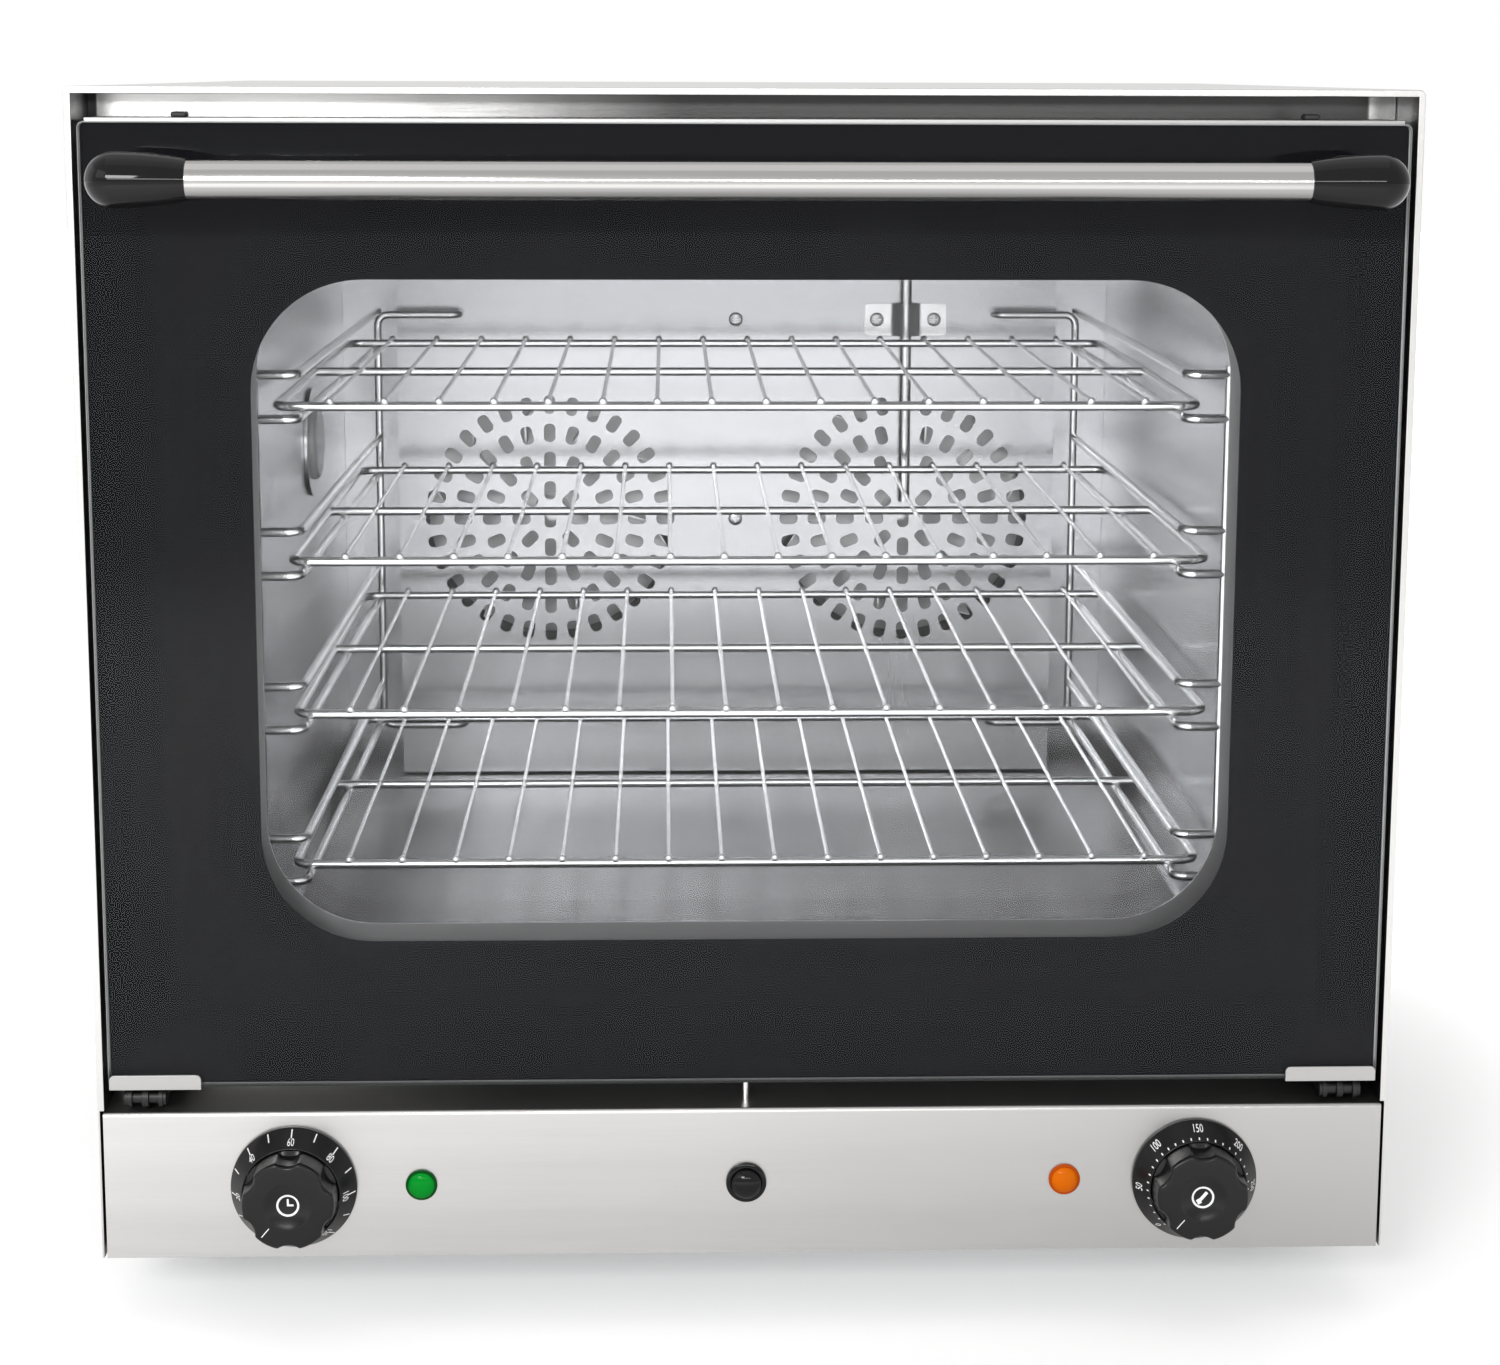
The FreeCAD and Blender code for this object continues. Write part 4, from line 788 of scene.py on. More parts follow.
for number in range(1, LEVELS + 1):
    node = "shelf_" + str(number)
    low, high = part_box(node)
    mesh = grown(wire_shelf, node + "_wires", bright_wire,
                 Middle=((low.x + high.x) / 2, (low.y + high.y) / 2, low.z + ROD_R * MM),
                 Width=high.x - low.x - 2 * ROD_R * MM,
                 Depth=high.y - low.y - 2 * ROD_R * MM - 0.0001,
                 Wires=SHELF_WIRES, Rod_radius=ROD_R * MM, Wire_radius=WIRE_R * MM,
                 Corner=SHELF_CORNER * MM, Overhang=SHELF_OVERHANG * MM)
    smooth_by_angle(mesh)
    mesh.materials.append(weld_bright)
    bead_low, bead_back = low.z + BEAD_ABOVE_FRAME * MM, low.y + (ROD_R + BEAD_BEHIND_ROD) * MM
    for face in mesh.polygons:
        if face.center.z > bead_low and face.center.y < bead_back:
            face.material_index = 1
    stand_in(mesh, node + "_wires", node)

# %% [markdown]
# ## The fan guard
# A flat sheet screwed in front of the fans, with two round fields of short radial slots. The tree
# draws the outline and every slot as flat curves, fills between them and gives it thickness.

# %% A tree that punches the guard
SLOT_RINGS = [(8, 17.3), (16, 35.0), (24, 52.0), (32, 69.0)]


def aligned(tree, axis, direction):
    """A rotation that turns an axis to a direction."""
    return tree.node("FunctionNodeAlignRotationToVector", axis=axis, Vector=direction)[0]


tree, given = geometry_tree("slotted_guard", "Width", "Height", "Thickness", "Field distance",
                            "Field height", "Slot length", "Slot width")
slotted_guard = tree
slot = oblong(tree, given["Slot length"], given["Slot width"])
slot = tree.geo("FilletCurve", mode="POLY", Curve=slot, Count=4, Radius=given["Slot width"] * 0.42)
slots = [tree.geo("Transform", Geometry=slot, Rotation=Euler((0, 0, math.radians(90))))]
for count, radius in SLOT_RINGS:
    ring = tree.geo("MeshCircle", Vertices=count, Radius=radius * MM)
    turn = aligned(tree, "X", tree.geo("InputPosition"))
    slots.append(tree.geo("InstanceOnPoints", Points=ring, Instance=slot, Rotation=turn))
field = tree.geo("RealizeInstances", Geometry=joined(tree, *slots))
fields = [
    tree.geo("Transform", Geometry=field, Translation=tree.vector(
        given["Field distance"] * side, given["Field height"], 0.0))
    for side in (-1, 1)
]
edge = oblong(tree, given["Width"], given["Height"])
flat = tree.geo("FillCurve", mode="TRIANGLES", Curve=joined(tree, edge, *fields))
thick = tree.geo("ExtrudeMesh", mode="FACES", Mesh=flat, Offset=tree.vector(0.0, 0.0, 1.0),
                 Offset_Scale=given["Thickness"], Individual=False)
closed = joined(tree, thick, tree.geo("FlipFaces", Mesh=flat))
finish_tree(tree, given, tree.geo("MergeByDistance", Geometry=closed, Distance=0.00001))

# %% The guard in its place
FAN_X, FAN_Z = 106.0, 277.0
GUARD_SHEET, GUARD_FLANGE, GUARD_HANG = 1.2, 12.0, 5.4
SLOT_LENGTH, SLOT_WIDTH = 11.0, 7.0


def add_block(shape, centre, size):
    """A block with its middle at a point, both in metres."""
    for vertex in bmesh.ops.create_cube(shape, size=1.0)["verts"]:
        vertex.co = centre + vertex.co * Vector(size)


low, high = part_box("fan_guard")
low.z -= GUARD_HANG * MM
middle = (low + high) / 2
guard_w, guard_h = high.x - low.x, high.z - low.z
mesh = grown(slotted_guard, "guard", guard_steel,
             Width=guard_w, Height=guard_h, Thickness=GUARD_SHEET * MM,
             Field_distance=FAN_X * MM, Field_height=place(0, 0, FAN_Z).z - middle.z,
             Slot_length=SLOT_LENGTH * MM, Slot_width=SLOT_WIDTH * MM)
in_place = Matrix.Translation((middle.x, low.y + GUARD_SHEET * MM, middle.z))
mesh.transform(in_place @ Matrix.Rotation(math.radians(90), 4, "X"))
shape = bmesh.new()
shape.from_mesh(mesh)
for z in (low.z, high.z - GUARD_SHEET * MM):
    centre = (middle.x, low.y + (GUARD_FLANGE + GUARD_SHEET) / 2 * MM, z + GUARD_SHEET / 2 * MM)
    add_block(shape, Vector(centre), (guard_w, (GUARD_FLANGE - GUARD_SHEET) * MM, GUARD_SHEET * MM))
shape.to_mesh(mesh)
shape.free()
stand_in(mesh, "guard_sheet", "fan_guard")

# %% [markdown]
# ## Screws
# Every screw on the oven is a pan head with a cross recess. One tree makes the head once and puts a
# copy on each point, turned to face the way the screw was driven from.

# %% A tree that sets screws
tree, given = geometry_tree("set_screws", "Head radius", "Head height", Facing="Vector")
set_screws = tree
head_r, head_h = given["Head radius"], given["Head height"]


def cutter(width, length, height, lift):
    """A block on the head's axis, lifted along it."""
    block = tree.geo("MeshCube", Size=tree.vector(width, length, height))
    return tree.geo("Transform", Geometry=block, Translation=tree.vector(0.0, 0.0, lift))


ball = tree.geo("MeshUVSphere", Segments=24, Rings=16, Radius=1.0)
cross_length, cross_width = head_r * 1.15, head_r * 0.22
head = tree.geo("Transform", Geometry=ball, Scale=tree.vector(head_r, head_r, head_h))
head = tree.geo("MeshBoolean", operation="DIFFERENCE", solver="EXACT", Mesh_1=head, Mesh_2=[
    cutter(cross_length, cross_width, head_h, head_h),
    cutter(cross_width, cross_length, head_h, head_h),
    cutter(head_r * 4, head_r * 4, head_h * 2, head_h * -1),
])
finish_tree(tree, given, tree.geo("InstanceOnPoints", Points=given["Geometry"], Instance=head,
                                  Rotation=aligned(tree, "Z", given["Facing"])))


def screws(node, points, radius, height, facing):
    """Pan heads on points, in millimetres, that take a node's place."""
    start = lines_mesh(node + "_points", [[place(*point)] for point in points])
    mesh = grown(set_screws, node + "_heads", fittings, start,
                 Head_radius=radius * MM, Head_height=height * MM, Facing=facing)
    smooth_by_angle(mesh, 30)
    stand_in(mesh, node + "_heads", node)


# %% Screws in their places
GUARD_Y, GUARD_SCREW_X, GUARD_SCREWS_Z = 427.0, 5.0, (397.0, 277.0, 157.0)
CLAMP_Z, CLAMP_SCREWS_X = 397.0, (89.0, 123.0)
CASING_W, CASING_H, CASING_D = 595.0, 536.0, 530.0
EDGE, FOLD = 8.0, 4.0
CLIP_SCREW_X, CLIP_SCREW_Y, CLIP_SCREW_Z = 258.0, 18.0, 81.0

screws("cavity_screws", [(GUARD_SCREW_X, GUARD_Y, z) for z in GUARD_SCREWS_Z]
       + [(x, GUARD_Y - 1, CLAMP_Z) for x in CLAMP_SCREWS_X], 4.2, 1.5, (0, -1, 0))
columns = (EDGE - CASING_W / 2, 0.0, CASING_W / 2 - EDGE)
rows = (EDGE + FOLD, CASING_H / 2, CASING_H - EDGE)
screws("panel_screws", [(x, CASING_D, z) for x in columns for z in rows if x or z != CASING_H / 2],
       4.0, 2.0, (0, 1, 0))
screws("clip_screws", [(side * CLIP_SCREW_X, CLIP_SCREW_Y, CLIP_SCREW_Z) for side in (-1, 1)],
       3.5, 1.8, (0, 0, -1))

# %% [markdown]
# ## Meshes drawn row by row
# The strap, the glass, the handle, the lights, the button and the dials are rows of corners with
# faces between them.

# %% Skins between rows
def skin(shape, rows, capped=False):
    """Faces between rows of corners that go round. A row that is one point makes a fan."""
    for near, far in zip(rows, rows[1:]):
        for step in range(len(near)):
            after = (step + 1) % len(near)
            unique = []
            for corner in (near[step], near[after], far[after], far[step]):
                if corner not in unique:
                    unique.append(corner)
            if len(unique) > 2:
                shape.faces.new(unique)
    if capped:
        shape.faces.new(rows[0])
        shape.faces.new(rows[-1])


def closed_mesh(shape, name, material):
    """Turn a finished bmesh into a mesh whose faces point outwards."""
    bmesh.ops.recalc_face_normals(shape, faces=shape.faces)
    mesh = bpy.data.meshes.new(name)
    shape.to_mesh(mesh)
    shape.free()
    mesh.materials.append(material)
    smooth_by_angle(mesh)
    return mesh


def bmesh_of(*meshes):
    """Several meshes in one bmesh."""
    shape = bmesh.new()
    for mesh in meshes:
        shape.from_mesh(mesh)
    return shape


# %% [markdown]
# ## The steam tube's clamp
# A strap with two flat ears and a hump that holds the tube against the guard. It is drawn row by
# row across, so its ears have round corners and its hump runs out softly.

# %% Clamp strap
CLAMP_X, CLAMP_HALF_W, CLAMP_HALF_H, CLAMP_FRONT, CLAMP_T = 106.0, 24.5, 9.6, 418.9, 1.2
HUMP_HALF_W, EAR_CORNER = 9.6, 2.6
EAR_STEPS, HUMP_STEPS = 6, 20


def strap_row(shape, across):
    """Four corners of the strap at a distance from the tube's middle line."""
    share = min(1.0, abs(across) / HUMP_HALF_W)
    front = CLAMP_FRONT + share * share * (3 - 2 * share) * (GUARD_Y - CLAMP_T - CLAMP_FRONT)
    from_corner = max(0.0, EAR_CORNER - (CLAMP_HALF_W - abs(across)))
    half_h = CLAMP_HALF_H - EAR_CORNER + math.sqrt(EAR_CORNER ** 2 - from_corner ** 2)
    return [shape.verts.new(place(CLAMP_X + across, y, CLAMP_Z + z)) for y, z in (
        (front, -half_h), (front, half_h), (front + CLAMP_T, half_h), (front + CLAMP_T, -half_h))]


half_way = [CLAMP_HALF_W - EAR_CORNER * (1 - math.cos(math.pi / 2 * step / EAR_STEPS))
            for step in range(EAR_STEPS + 1)]
half_way += [HUMP_HALF_W * (1 - step / HUMP_STEPS) for step in range(HUMP_STEPS)]
stations = half_way + [0.0] + [-across for across in reversed(half_way)]
shape = bmesh.new()
skin(shape, [strap_row(shape, across) for across in stations], capped=True)
strap = bevelled(closed_mesh(shape, "tube_strap", bright_wire), 0.25, 2, 50)
stand_in(strap, "tube_strap", "tube_clamp", "bright_fittings")

# %% [markdown]
# ## The door's glass
# The front of the door is one clear pane with ground edges. Its border is printed black on the
# back, and the print leaves a window with round corners. The print is drawn a hair into the glass,
# so that the two faces never lie in one plane.

# %% Outlines with round corners
CORNER_STEPS = 12


def outline_row(shape, y, half_w, low_z, high_z, radius):
    """The corners of an oblong with round corners at depth y, the same number for any radius."""
    x1, z0, z1 = half_w - radius, low_z + radius, high_z - radius
    row = []
    for x, z, start in ((x1, z1, 0), (-x1, z1, 90), (-x1, z0, 180), (x1, z0, 270)):
        for step in range(CORNER_STEPS + 1):
            angle = math.radians(start + 90 * step / CORNER_STEPS)
            point = place(x + radius * math.cos(angle), y, z + radius * math.sin(angle))
            row.append(shape.verts.new(point))
    return row


def pane_row(shape, y, inset):
    """A row round the glass, a little inside its edge."""
    return outline_row(shape, y, GLASS_HALF_W - inset, GLASS_LOW + inset, GLASS_HIGH - inset,
                       GLASS_CORNER - inset)


# %% Pane and print
GLASS_HALF_W, GLASS_LOW, GLASS_HIGH, GLASS_CORNER = 292.5, 82.0, 521.0, 3.0
GLASS_FRONT, GLASS_BACK, GLASS_CHAMFER = 1.0, 5.0, 0.5
PRINT_FRONT, PRINT_BACK, PRINT_INSET = 4.98, 5.3, 0.7
WINDOW = (220.5, 149.5, 452.0, 50.0)

shape = bmesh.new()
rows = [pane_row(shape, y, inset) for y, inset in (
    (GLASS_FRONT, GLASS_CHAMFER), (GLASS_FRONT + GLASS_CHAMFER, 0),
    (GLASS_BACK - GLASS_CHAMFER, 0), (GLASS_BACK, GLASS_CHAMFER))]
skin(shape, rows)
for face in shape.faces:
    face.material_index = 1
for cap in (rows[0], rows[-1]):
    shape.faces.new(cap)
mesh = closed_mesh(shape, "glass_pane", door_glass)
mesh.materials.append(glass_edge)
stand_in(mesh, "glass_pane", "outer_glass")

shape = bmesh.new()
rows = [pane_row(shape, PRINT_FRONT, PRINT_INSET), pane_row(shape, PRINT_BACK, PRINT_INSET),
        outline_row(shape, PRINT_BACK, *WINDOW), outline_row(shape, PRINT_FRONT, *WINDOW)]
skin(shape, rows + rows[:1])
stand_in(closed_mesh(shape, "window_print", enamel), "window_print", "glass_border")
print("window", 2 * WINDOW[0], "by", WINDOW[2] - WINDOW[1], "mm")

# %% [markdown]
# ## Bumpers
# Two small rubber pads sit on the door's top edge and keep it from ringing against the casing.
# Each is a block with a domed top.

# %% Door bumpers
BUMPER_X, BUMPER_Y, BUMPER_Z = 250.0, 15.0, 522.5
BUMPER_SIZE = Vector((7.0, 9.0, 2.6))

shape = bmesh.new()
for side in (-1, 1):
    centre = place(side * BUMPER_X, BUMPER_Y, BUMPER_Z + BUMPER_SIZE.z / 2)
    add_block(shape, centre, BUMPER_SIZE * MM)
bumpers = bevelled(closed_mesh(shape, "door_bumpers", gasket_rubber), 1.2, 4)
keep_object(bumpers, "door_bumpers", "door", "gasket_rubber")
print("bumpers", len(bumpers.polygons), "faces")

# %% [markdown]
# ## Turned pieces
# The handle, its ends, the lenses, the button and the dials are round. Each is an outline turned
# about an axis, written as (radius, distance along the axis) in millimetres, with its poles closed.
# A radius may also be a function of the angle, as on the dials' scalloped grips.

# %% A lathe
def lathe(name, outline, origin, axis, material, segments=96, loop=False, side=None):
    """A turned mesh. With loop, the outline closes on itself and never meets the axis."""
    axis = Vector(axis).normalized()
    side = side or axis.orthogonal().normalized()
    other = axis.cross(side)
    turns = [2 * math.pi * step / segments for step in range(segments)]
    shape = bmesh.new()
    rows = []
    for radius, along in outline:
        centre = origin + axis * along * MM
        if radius == 0:
            rows.append([shape.verts.new(centre)] * segments)
            continue
        row = []
        for turn in turns:
            length = radius(turn) if callable(radius) else radius
            direction = side * math.cos(turn) + other * math.sin(turn)
            row.append(shape.verts.new(centre + direction * length * MM))
        rows.append(row)
    skin(shape, rows + rows[:1] if loop else rows)
    return closed_mesh(shape, name, material)


def dome(radius, foot, top, steps=12):
    """Outline points of a dome from its foot up to its top, both distances along the axis."""
    angles = [math.pi / 2 * step / steps for step in range(steps)]
    points = [(radius * math.cos(angle), foot + (top - foot) * math.sin(angle)) for angle in angles]
    return points + [(0, top)]


# %% [markdown]
# ## The handle
# A polished steel tube sits in two glossy black plastic ends. Each end swells from the tube to a
# round nose, and its foot reaches back to the door's glass.

# %% Handle tube and ends
HANDLE_Y, HANDLE_Z, HANDLE_W = -36.0, 497.0, 564.0
BAR_R, BAR_WALL, BAR_SHOWN, BAR_INSERTED, BAR_PLAY = 8.5, 1.2, 478.0, 12.0, 0.02
END_R, MOUTH_R, MOUTH_DEPTH, MOUTH_LIP, END_STEPS = 12.0, 9.1, 1.5, 0.15, 14
FOOT_X, FOOT_HALF_W, FOOT_HALF_H, FOOT_STEPS = 266.0, 15.0, 10.5, 48
FOOT_ROWS = [(1.0, 0.0, 0.01), (-0.6, 0.0, 0.01), (-1.2, -0.6, -0.6), (-1.6, -2.2, -1.6),
             (-4.0, -3.2, -2.0), (-20.0, -4.0, -1.6), (-33.0, -4.5, -1.2)]

half, inner_r = BAR_SHOWN / 2 + BAR_INSERTED, BAR_R - BAR_WALL
middle = place(0, HANDLE_Y, HANDLE_Z)
bar = lathe("handle_tube", [(BAR_R, -half), (BAR_R, half), (inner_r, half), (inner_r, -half)],
            middle, (1, 0, 0), handle_steel, loop=True)
stand_in(bar, "handle_tube", "handle_bar")


def handle_end_outline():
    """The end's outline from the mouth round the nose."""
    mouth, swell_end = BAR_SHOWN / 2, HANDLE_W / 2 - END_R
    swell_start = mouth + MOUTH_LIP
    outline = [(0, mouth + MOUTH_DEPTH), (BAR_R + BAR_PLAY, mouth + MOUTH_DEPTH),
               (BAR_R + BAR_PLAY, mouth), (MOUTH_R - 0.1, mouth)]
    for step in range(END_STEPS + 1):
        share = step / END_STEPS
        radius = END_R - (END_R - MOUTH_R) * (1 - share) ** 2
        outline.append((radius, swell_start + (swell_end - swell_start) * share))
    return outline + dome(END_R, swell_end, HANDLE_W / 2, END_STEPS)[1:]


def foot_row(shape, side, y, half_w, half_h):
    """One row of a foot: an oblong with round ends, standing at depth y."""
    row = []
    for step in range(FOOT_STEPS):
        angle = 2 * math.pi * step / FOOT_STEPS
        straight = math.copysign(half_w - half_h, math.cos(angle))
        x = FOOT_X + straight + half_h * math.cos(angle)
        row.append(shape.verts.new(place(side * x, y, HANDLE_Z + half_h * math.sin(angle))))
    return row


for side, word in ((-1, "left"), (1, "right")):
    name = "handle_end_" + word
    end = lathe("end", handle_end_outline(), middle, (side, 0, 0), black_gloss)
    shape = bmesh.new()
    skin(shape, [foot_row(shape, side, y, FOOT_HALF_W + wide, FOOT_HALF_H + high)
                 for y, wide, high in FOOT_ROWS], capped=True)
    foot = closed_mesh(shape, "foot", black_gloss)
    stand_in(closed_mesh(bmesh_of(end, foot), name, black_gloss), name + "_moulded", name)

# %% [markdown]
# ## The panel's lights and button
# Two clear coloured lenses with a thin rim, and a domed black button in a flat round bezel.

# %% Lenses and button
CONTROL_Z = 34.5
TO_FRONT = (0, -1, 0)
LENS_R, LENS_H = 7.3, 3.8
BUTTON_R, BEZEL_R = 7.0, 9.45

for word, x, material in (("green", -150.0, green_lens), ("orange", 148.0, orange_lens)):
    outline = [(0, 0), (LENS_R, 0), (LENS_R, 0.9), (LENS_R - 0.3, 1.25), (LENS_R - 1.0, 1.35)]
    outline += dome(LENS_R - 1.1, 1.35, LENS_H)
    mesh = lathe(word + "_lens", outline, place(x, 0, CONTROL_Z), TO_FRONT, material)
    stand_in(mesh, word + "_pilot_dome", word + "_pilot_lens")

bezel = [(BUTTON_R + 0.05, -24), (BUTTON_R + 0.05, 2.2), (BUTTON_R + 0.5, 2.4),
         (BEZEL_R - 1.2, 2.4), (BEZEL_R - 0.3, 2.0), (BEZEL_R, 1.2), (BEZEL_R, 0),
         (BUTTON_R + 0.9, 0), (BUTTON_R + 0.9, -26), (BUTTON_R + 0.05, -26)]
mesh = lathe("bezel", bezel, place(0, 0, CONTROL_Z), TO_FRONT, black_gloss, loop=True)
stand_in(mesh, "button_bezel", "button_housing")
cap = [(0, -10), (BUTTON_R - 0.05, -10), (BUTTON_R - 0.05, 3.0)] + dome(BUTTON_R - 0.1, 3.2, 6.8)
mesh = lathe("cap", cap, place(0, 0, CONTROL_Z), TO_FRONT, black_gloss)
stand_in(mesh, "steam_button_cap", "steam_button")

# %% [markdown]
# ## The dials
# A fixed conical ring carries the scale, and a grip with six finger scallops turns in its mouth.
# The marks are thin slabs laid on the cone: the tree places ticks or dots at equal angles, and the
# numbers are text. Zero is at the lower left, where the grip's line points at rest.

# %% A tree that spaces marks round a dial
tree, given = geometry_tree("dial_marks", "Radius", "Sweep", "Length", "Width", "Thickness",
                            Count="Int")
dial_marks = tree
angle = given["Sweep"] * (tree.geo("InputIndex") / (given["Count"] - 1) - 0.5)
on_arc = tree.vector(given["Radius"] * tree.maths("SINE", angle), 0.0,
                     given["Radius"] * tree.maths("COSINE", angle))
points = tree.geo("MeshLine", Count=given["Count"])
arc = tree.geo("SetPosition", Geometry=points, Position=on_arc)
mark = tree.geo("MeshCube", Size=tree.vector(given["Width"], given["Thickness"], given["Length"]))
turn = tree.node("FunctionNodeEulerToRotation", Euler=tree.vector(0.0, angle, 0.0))[0]
finish_tree(tree, given, tree.geo("InstanceOnPoints", Points=arc, Instance=mark, Rotation=turn))

# %% Printing on a turned surface
SCALE_R, MOUTH_OF_RING_R, SCALE_REACH, RING_FOOT = 29.0, 22.6, 12.4, 2.0
KNOB_REACH, DISH_R, DISH = 25.0, 10.7, 2.4
PRINT_T = 0.12


def cone_depth(radius):
    """How far in front of the panel the scale ring's slope is, in millimetres, at a radius."""
    share = (SCALE_R - radius) / (SCALE_R - MOUTH_OF_RING_R)
    return RING_FOOT + share * (SCALE_REACH - RING_FOOT)


def dish_depth(radius):
    """The grip's face: flat outside the dish, and a shallow hollow inside it."""
    return KNOB_REACH - DISH * max(0.0, 1 - (radius / DISH_R) ** 2)


def number_mesh(text, size, radius, degrees):
    """A number drawn upright at the top of a dial, then turned clockwise to its angle."""
    curve = bpy.data.curves.new("number", "FONT")
    curve.body = text
    curve.size = size * MM
    curve.extrude = PRINT_T / 2 * MM
    curve.align_x = curve.align_y = "CENTER"
    curve.resolution_u = 3
    mesh = taken_mesh(in_scene("number", curve))
    upright = Matrix.Rotation(math.radians(90), 4, "X")
    outwards = Matrix.Translation((0, 0, radius * MM))
    mesh.transform(Matrix.Rotation(math.radians(degrees), 4, "Y") @ outwards @ upright)
    return mesh


def laid_on(name, meshes, centre, depth_at):
    """Lay flat marks on a dial, each point at its own depth, and join them."""
    shape = bmesh_of(*meshes)
    for vertex in shape.verts:
        radius = math.hypot(vertex.co.x, vertex.co.z) / MM
        vertex.co += centre + Vector((0, -depth_at(radius) * MM, 0))
    return closed_mesh(shape, name, white_print)


# %% Shapes of the grip
GRIP_R, GRIP_BACK, GRIP_NECK, GRIP_CORNERS = 21.7, 2.0, 12.3, 180
SCALLOPS, SCALLOP_R, SCALLOP_DEPTH, SCALLOP_SOFTNESS = 6, 10.0, 2.2, 0.35
GRIP_ROWS = [(0.05, 12.9), (0.35, 18.0), (0.65, 22.8), (0.80, 23.8), (1.15, 24.5), (1.75, 24.9),
             (2.60, 25.0)]
FACE_RADII, DISH_EDGE_R, DISH_STEPS = [15.5, 12.5, 11.6, 11.0], 10.6, 9


def scalloped(inset):
    """The grip's outline with a soft rim between scallops, as a radius at an angle."""
    def radius(angle):
        step = 2 * math.pi / SCALLOPS
        off_centre = (angle + step / 2) % step - step / 2
        reach = GRIP_R + SCALLOP_R - SCALLOP_DEPTH
        across = reach * math.sin(off_centre)
        if abs(across) >= SCALLOP_R:
            return GRIP_R - inset
        inner = reach * math.cos(off_centre) - math.sqrt(SCALLOP_R ** 2 - across ** 2)
        blend = max(0.0, min(1.0, 0.5 + (GRIP_R - inner) / (2 * SCALLOP_SOFTNESS)))
        softened = GRIP_R * (1 - blend) + inner * blend - SCALLOP_SOFTNESS * blend * (1 - blend)
        return min(GRIP_R, softened) - inset
    return radius


GRIP_OUTLINE = [(0, GRIP_BACK), (GRIP_R, GRIP_BACK), (GRIP_R, GRIP_NECK)]
GRIP_OUTLINE += [(scalloped(inset), reach) for inset, reach in GRIP_ROWS]
GRIP_OUTLINE += [(radius, KNOB_REACH) for radius in FACE_RADII]
for step in range(DISH_STEPS):
    radius = DISH_EDGE_R * (1 - step / DISH_STEPS)
    GRIP_OUTLINE.append((radius, dish_depth(radius)))
GRIP_OUTLINE.append((0, dish_depth(0)))


# %% Printed strokes
def slab(corners):
    """A flat outline in the dial's plane, in millimetres, with the print's thickness."""
    shape = bmesh.new()
    skin(shape, [[shape.verts.new(Vector((x, y, z)) * MM) for x, z in corners]
                 for y in (-PRINT_T / 2, PRINT_T / 2)], capped=True)
    mesh = bpy.data.meshes.new("slab")
    shape.to_mesh(mesh)
    shape.free()
    return mesh


def stroke(x0, z0, x1, z1, width):
    """A straight stroke between two points."""
    along = Vector((x1 - x0, z1 - z0)).normalized() * width / 2
    return slab([(x0 + along.y, z0 - along.x), (x1 + along.y, z1 - along.x),
                 (x1 - along.y, z1 + along.x), (x0 - along.y, z0 + along.x)])


def round_stroke(radius, width, count=40):
    """A closed circle line of short strokes."""
    angles = [2 * math.pi * step / count for step in range(count + 1)]
    corners = [(radius * math.cos(angle), radius * math.sin(angle)) for angle in angles]
    inner = 1 - width / radius
    return [slab([(x0, z0), (x1, z1), (x1 * inner, z1 * inner), (x0 * inner, z0 * inner)])
            for (x0, z0), (x1, z1) in zip(corners, corners[1:])]


# %% Both dials
KNOB_X = 208.5
SCALE_SWEEP = 280.0
POINTER_FROM, POINTER_TO, POINTER_W = 13.2, 18.6, 0.42
ICON_R, ICON_W = 5.2, 0.95
RING_LIP, RING_REACH = 0.5, 15.0

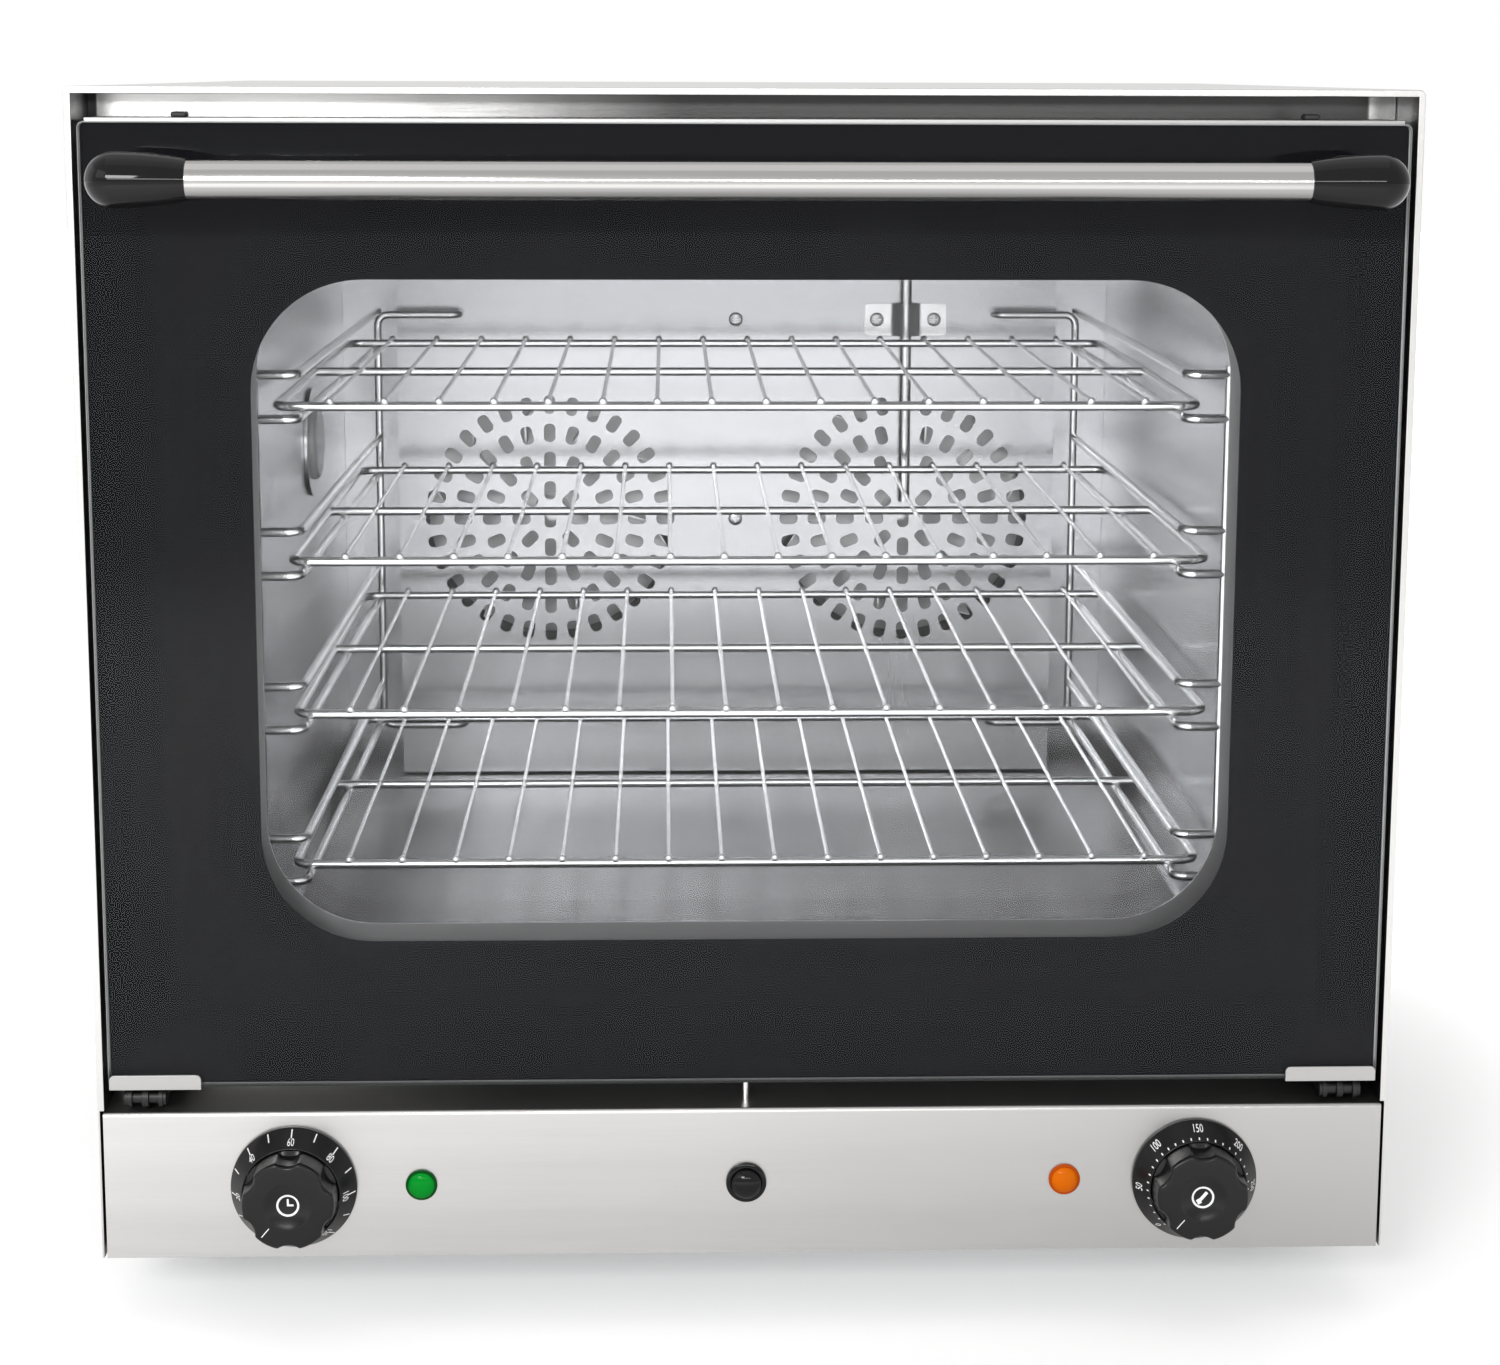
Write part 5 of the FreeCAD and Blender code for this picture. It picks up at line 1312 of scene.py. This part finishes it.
DIALS = {
    "timer": {
        "x": -KNOB_X, "numbers": range(0, 121, 20), "size": 3.3, "number_r": 24.5,
        "marks": (13, 27.1, 2.6, 0.55),
        "icon": [stroke(0, -0.4, 0, 3.0, 0.9), stroke(-0.45, 0.0, 2.6, 0.0, 0.9)],
    },
    "thermostat": {
        "x": KNOB_X, "numbers": range(0, 301, 50), "size": 3.5, "number_r": 26.4,
        "marks": (31, 23.4, 0.75, 0.6),
        "icon": [stroke(-1.6, -1.9, 1.9, 2.3, 1.5), stroke(-2.6, -2.5, -0.9, -1.6, 2.4)],
    },
}
for word, facts in DIALS.items():
    centre = place(facts["x"], 0, CONTROL_Z)
    ring = bevelled(lathe("ring", [
        (MOUTH_OF_RING_R - RING_LIP, 0), (SCALE_R, 0), (SCALE_R, RING_FOOT),
        (MOUTH_OF_RING_R, SCALE_REACH), (MOUTH_OF_RING_R - RING_LIP, SCALE_REACH),
    ], centre, TO_FRONT, dial_black, segments=128, loop=True), 0.35, 3, 25)

    def in_packed_ring(point):
        """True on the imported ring, which the turned one replaces."""
        off_axis = math.hypot(point.x - centre.x, point.z - centre.z)
        return point.y < centre.y + 0.5 * MM and off_axis > RING_REACH * MM

    works = welded_copy(word + "_unit", dial_black, in_packed_ring)
    ring = closed_mesh(bmesh_of(ring, works), word + "_ring", dial_black)
    stand_in(ring, word + "_scale_ring", word + "_unit")

    count, radius, length, width = facts["marks"]
    printed = [grown(dial_marks, word + "_marks", white_print,
                     Count=count, Radius=radius * MM, Sweep=math.radians(SCALE_SWEEP),
                     Length=length * MM, Width=width * MM, Thickness=PRINT_T * MM)]
    numbers = list(facts["numbers"])
    for spot, number in enumerate(numbers):
        degrees = SCALE_SWEEP * (spot / (len(numbers) - 1) - 0.5)
        printed.append(number_mesh(str(number), facts["size"], facts["number_r"], degrees))
    mesh = laid_on(word + "_print", printed, centre, cone_depth)
    keep_object(mesh, word + "_scale_print", "root", "terminal_white")

    grip = lathe(word + "_grip", GRIP_OUTLINE, centre, TO_FRONT, dial_black, GRIP_CORNERS,
                 side=Vector((0, 0, 1)))
    stand_in(grip, word + "_grip", word + "_knob")
    lean = math.radians(-SCALE_SWEEP / 2)
    zero = Vector((math.sin(lean), math.cos(lean)))
    pointer = stroke(*(zero * POINTER_FROM), *(zero * POINTER_TO), POINTER_W)
    strokes = [pointer] + round_stroke(ICON_R, ICON_W) + facts["icon"]
    mesh = laid_on(word + "_icon", strokes, centre, dish_depth)
    keep_object(mesh, word + "_grip_print", word + "_dial", "terminal_white")
    print(word, "numbers", numbers, "marks", count)
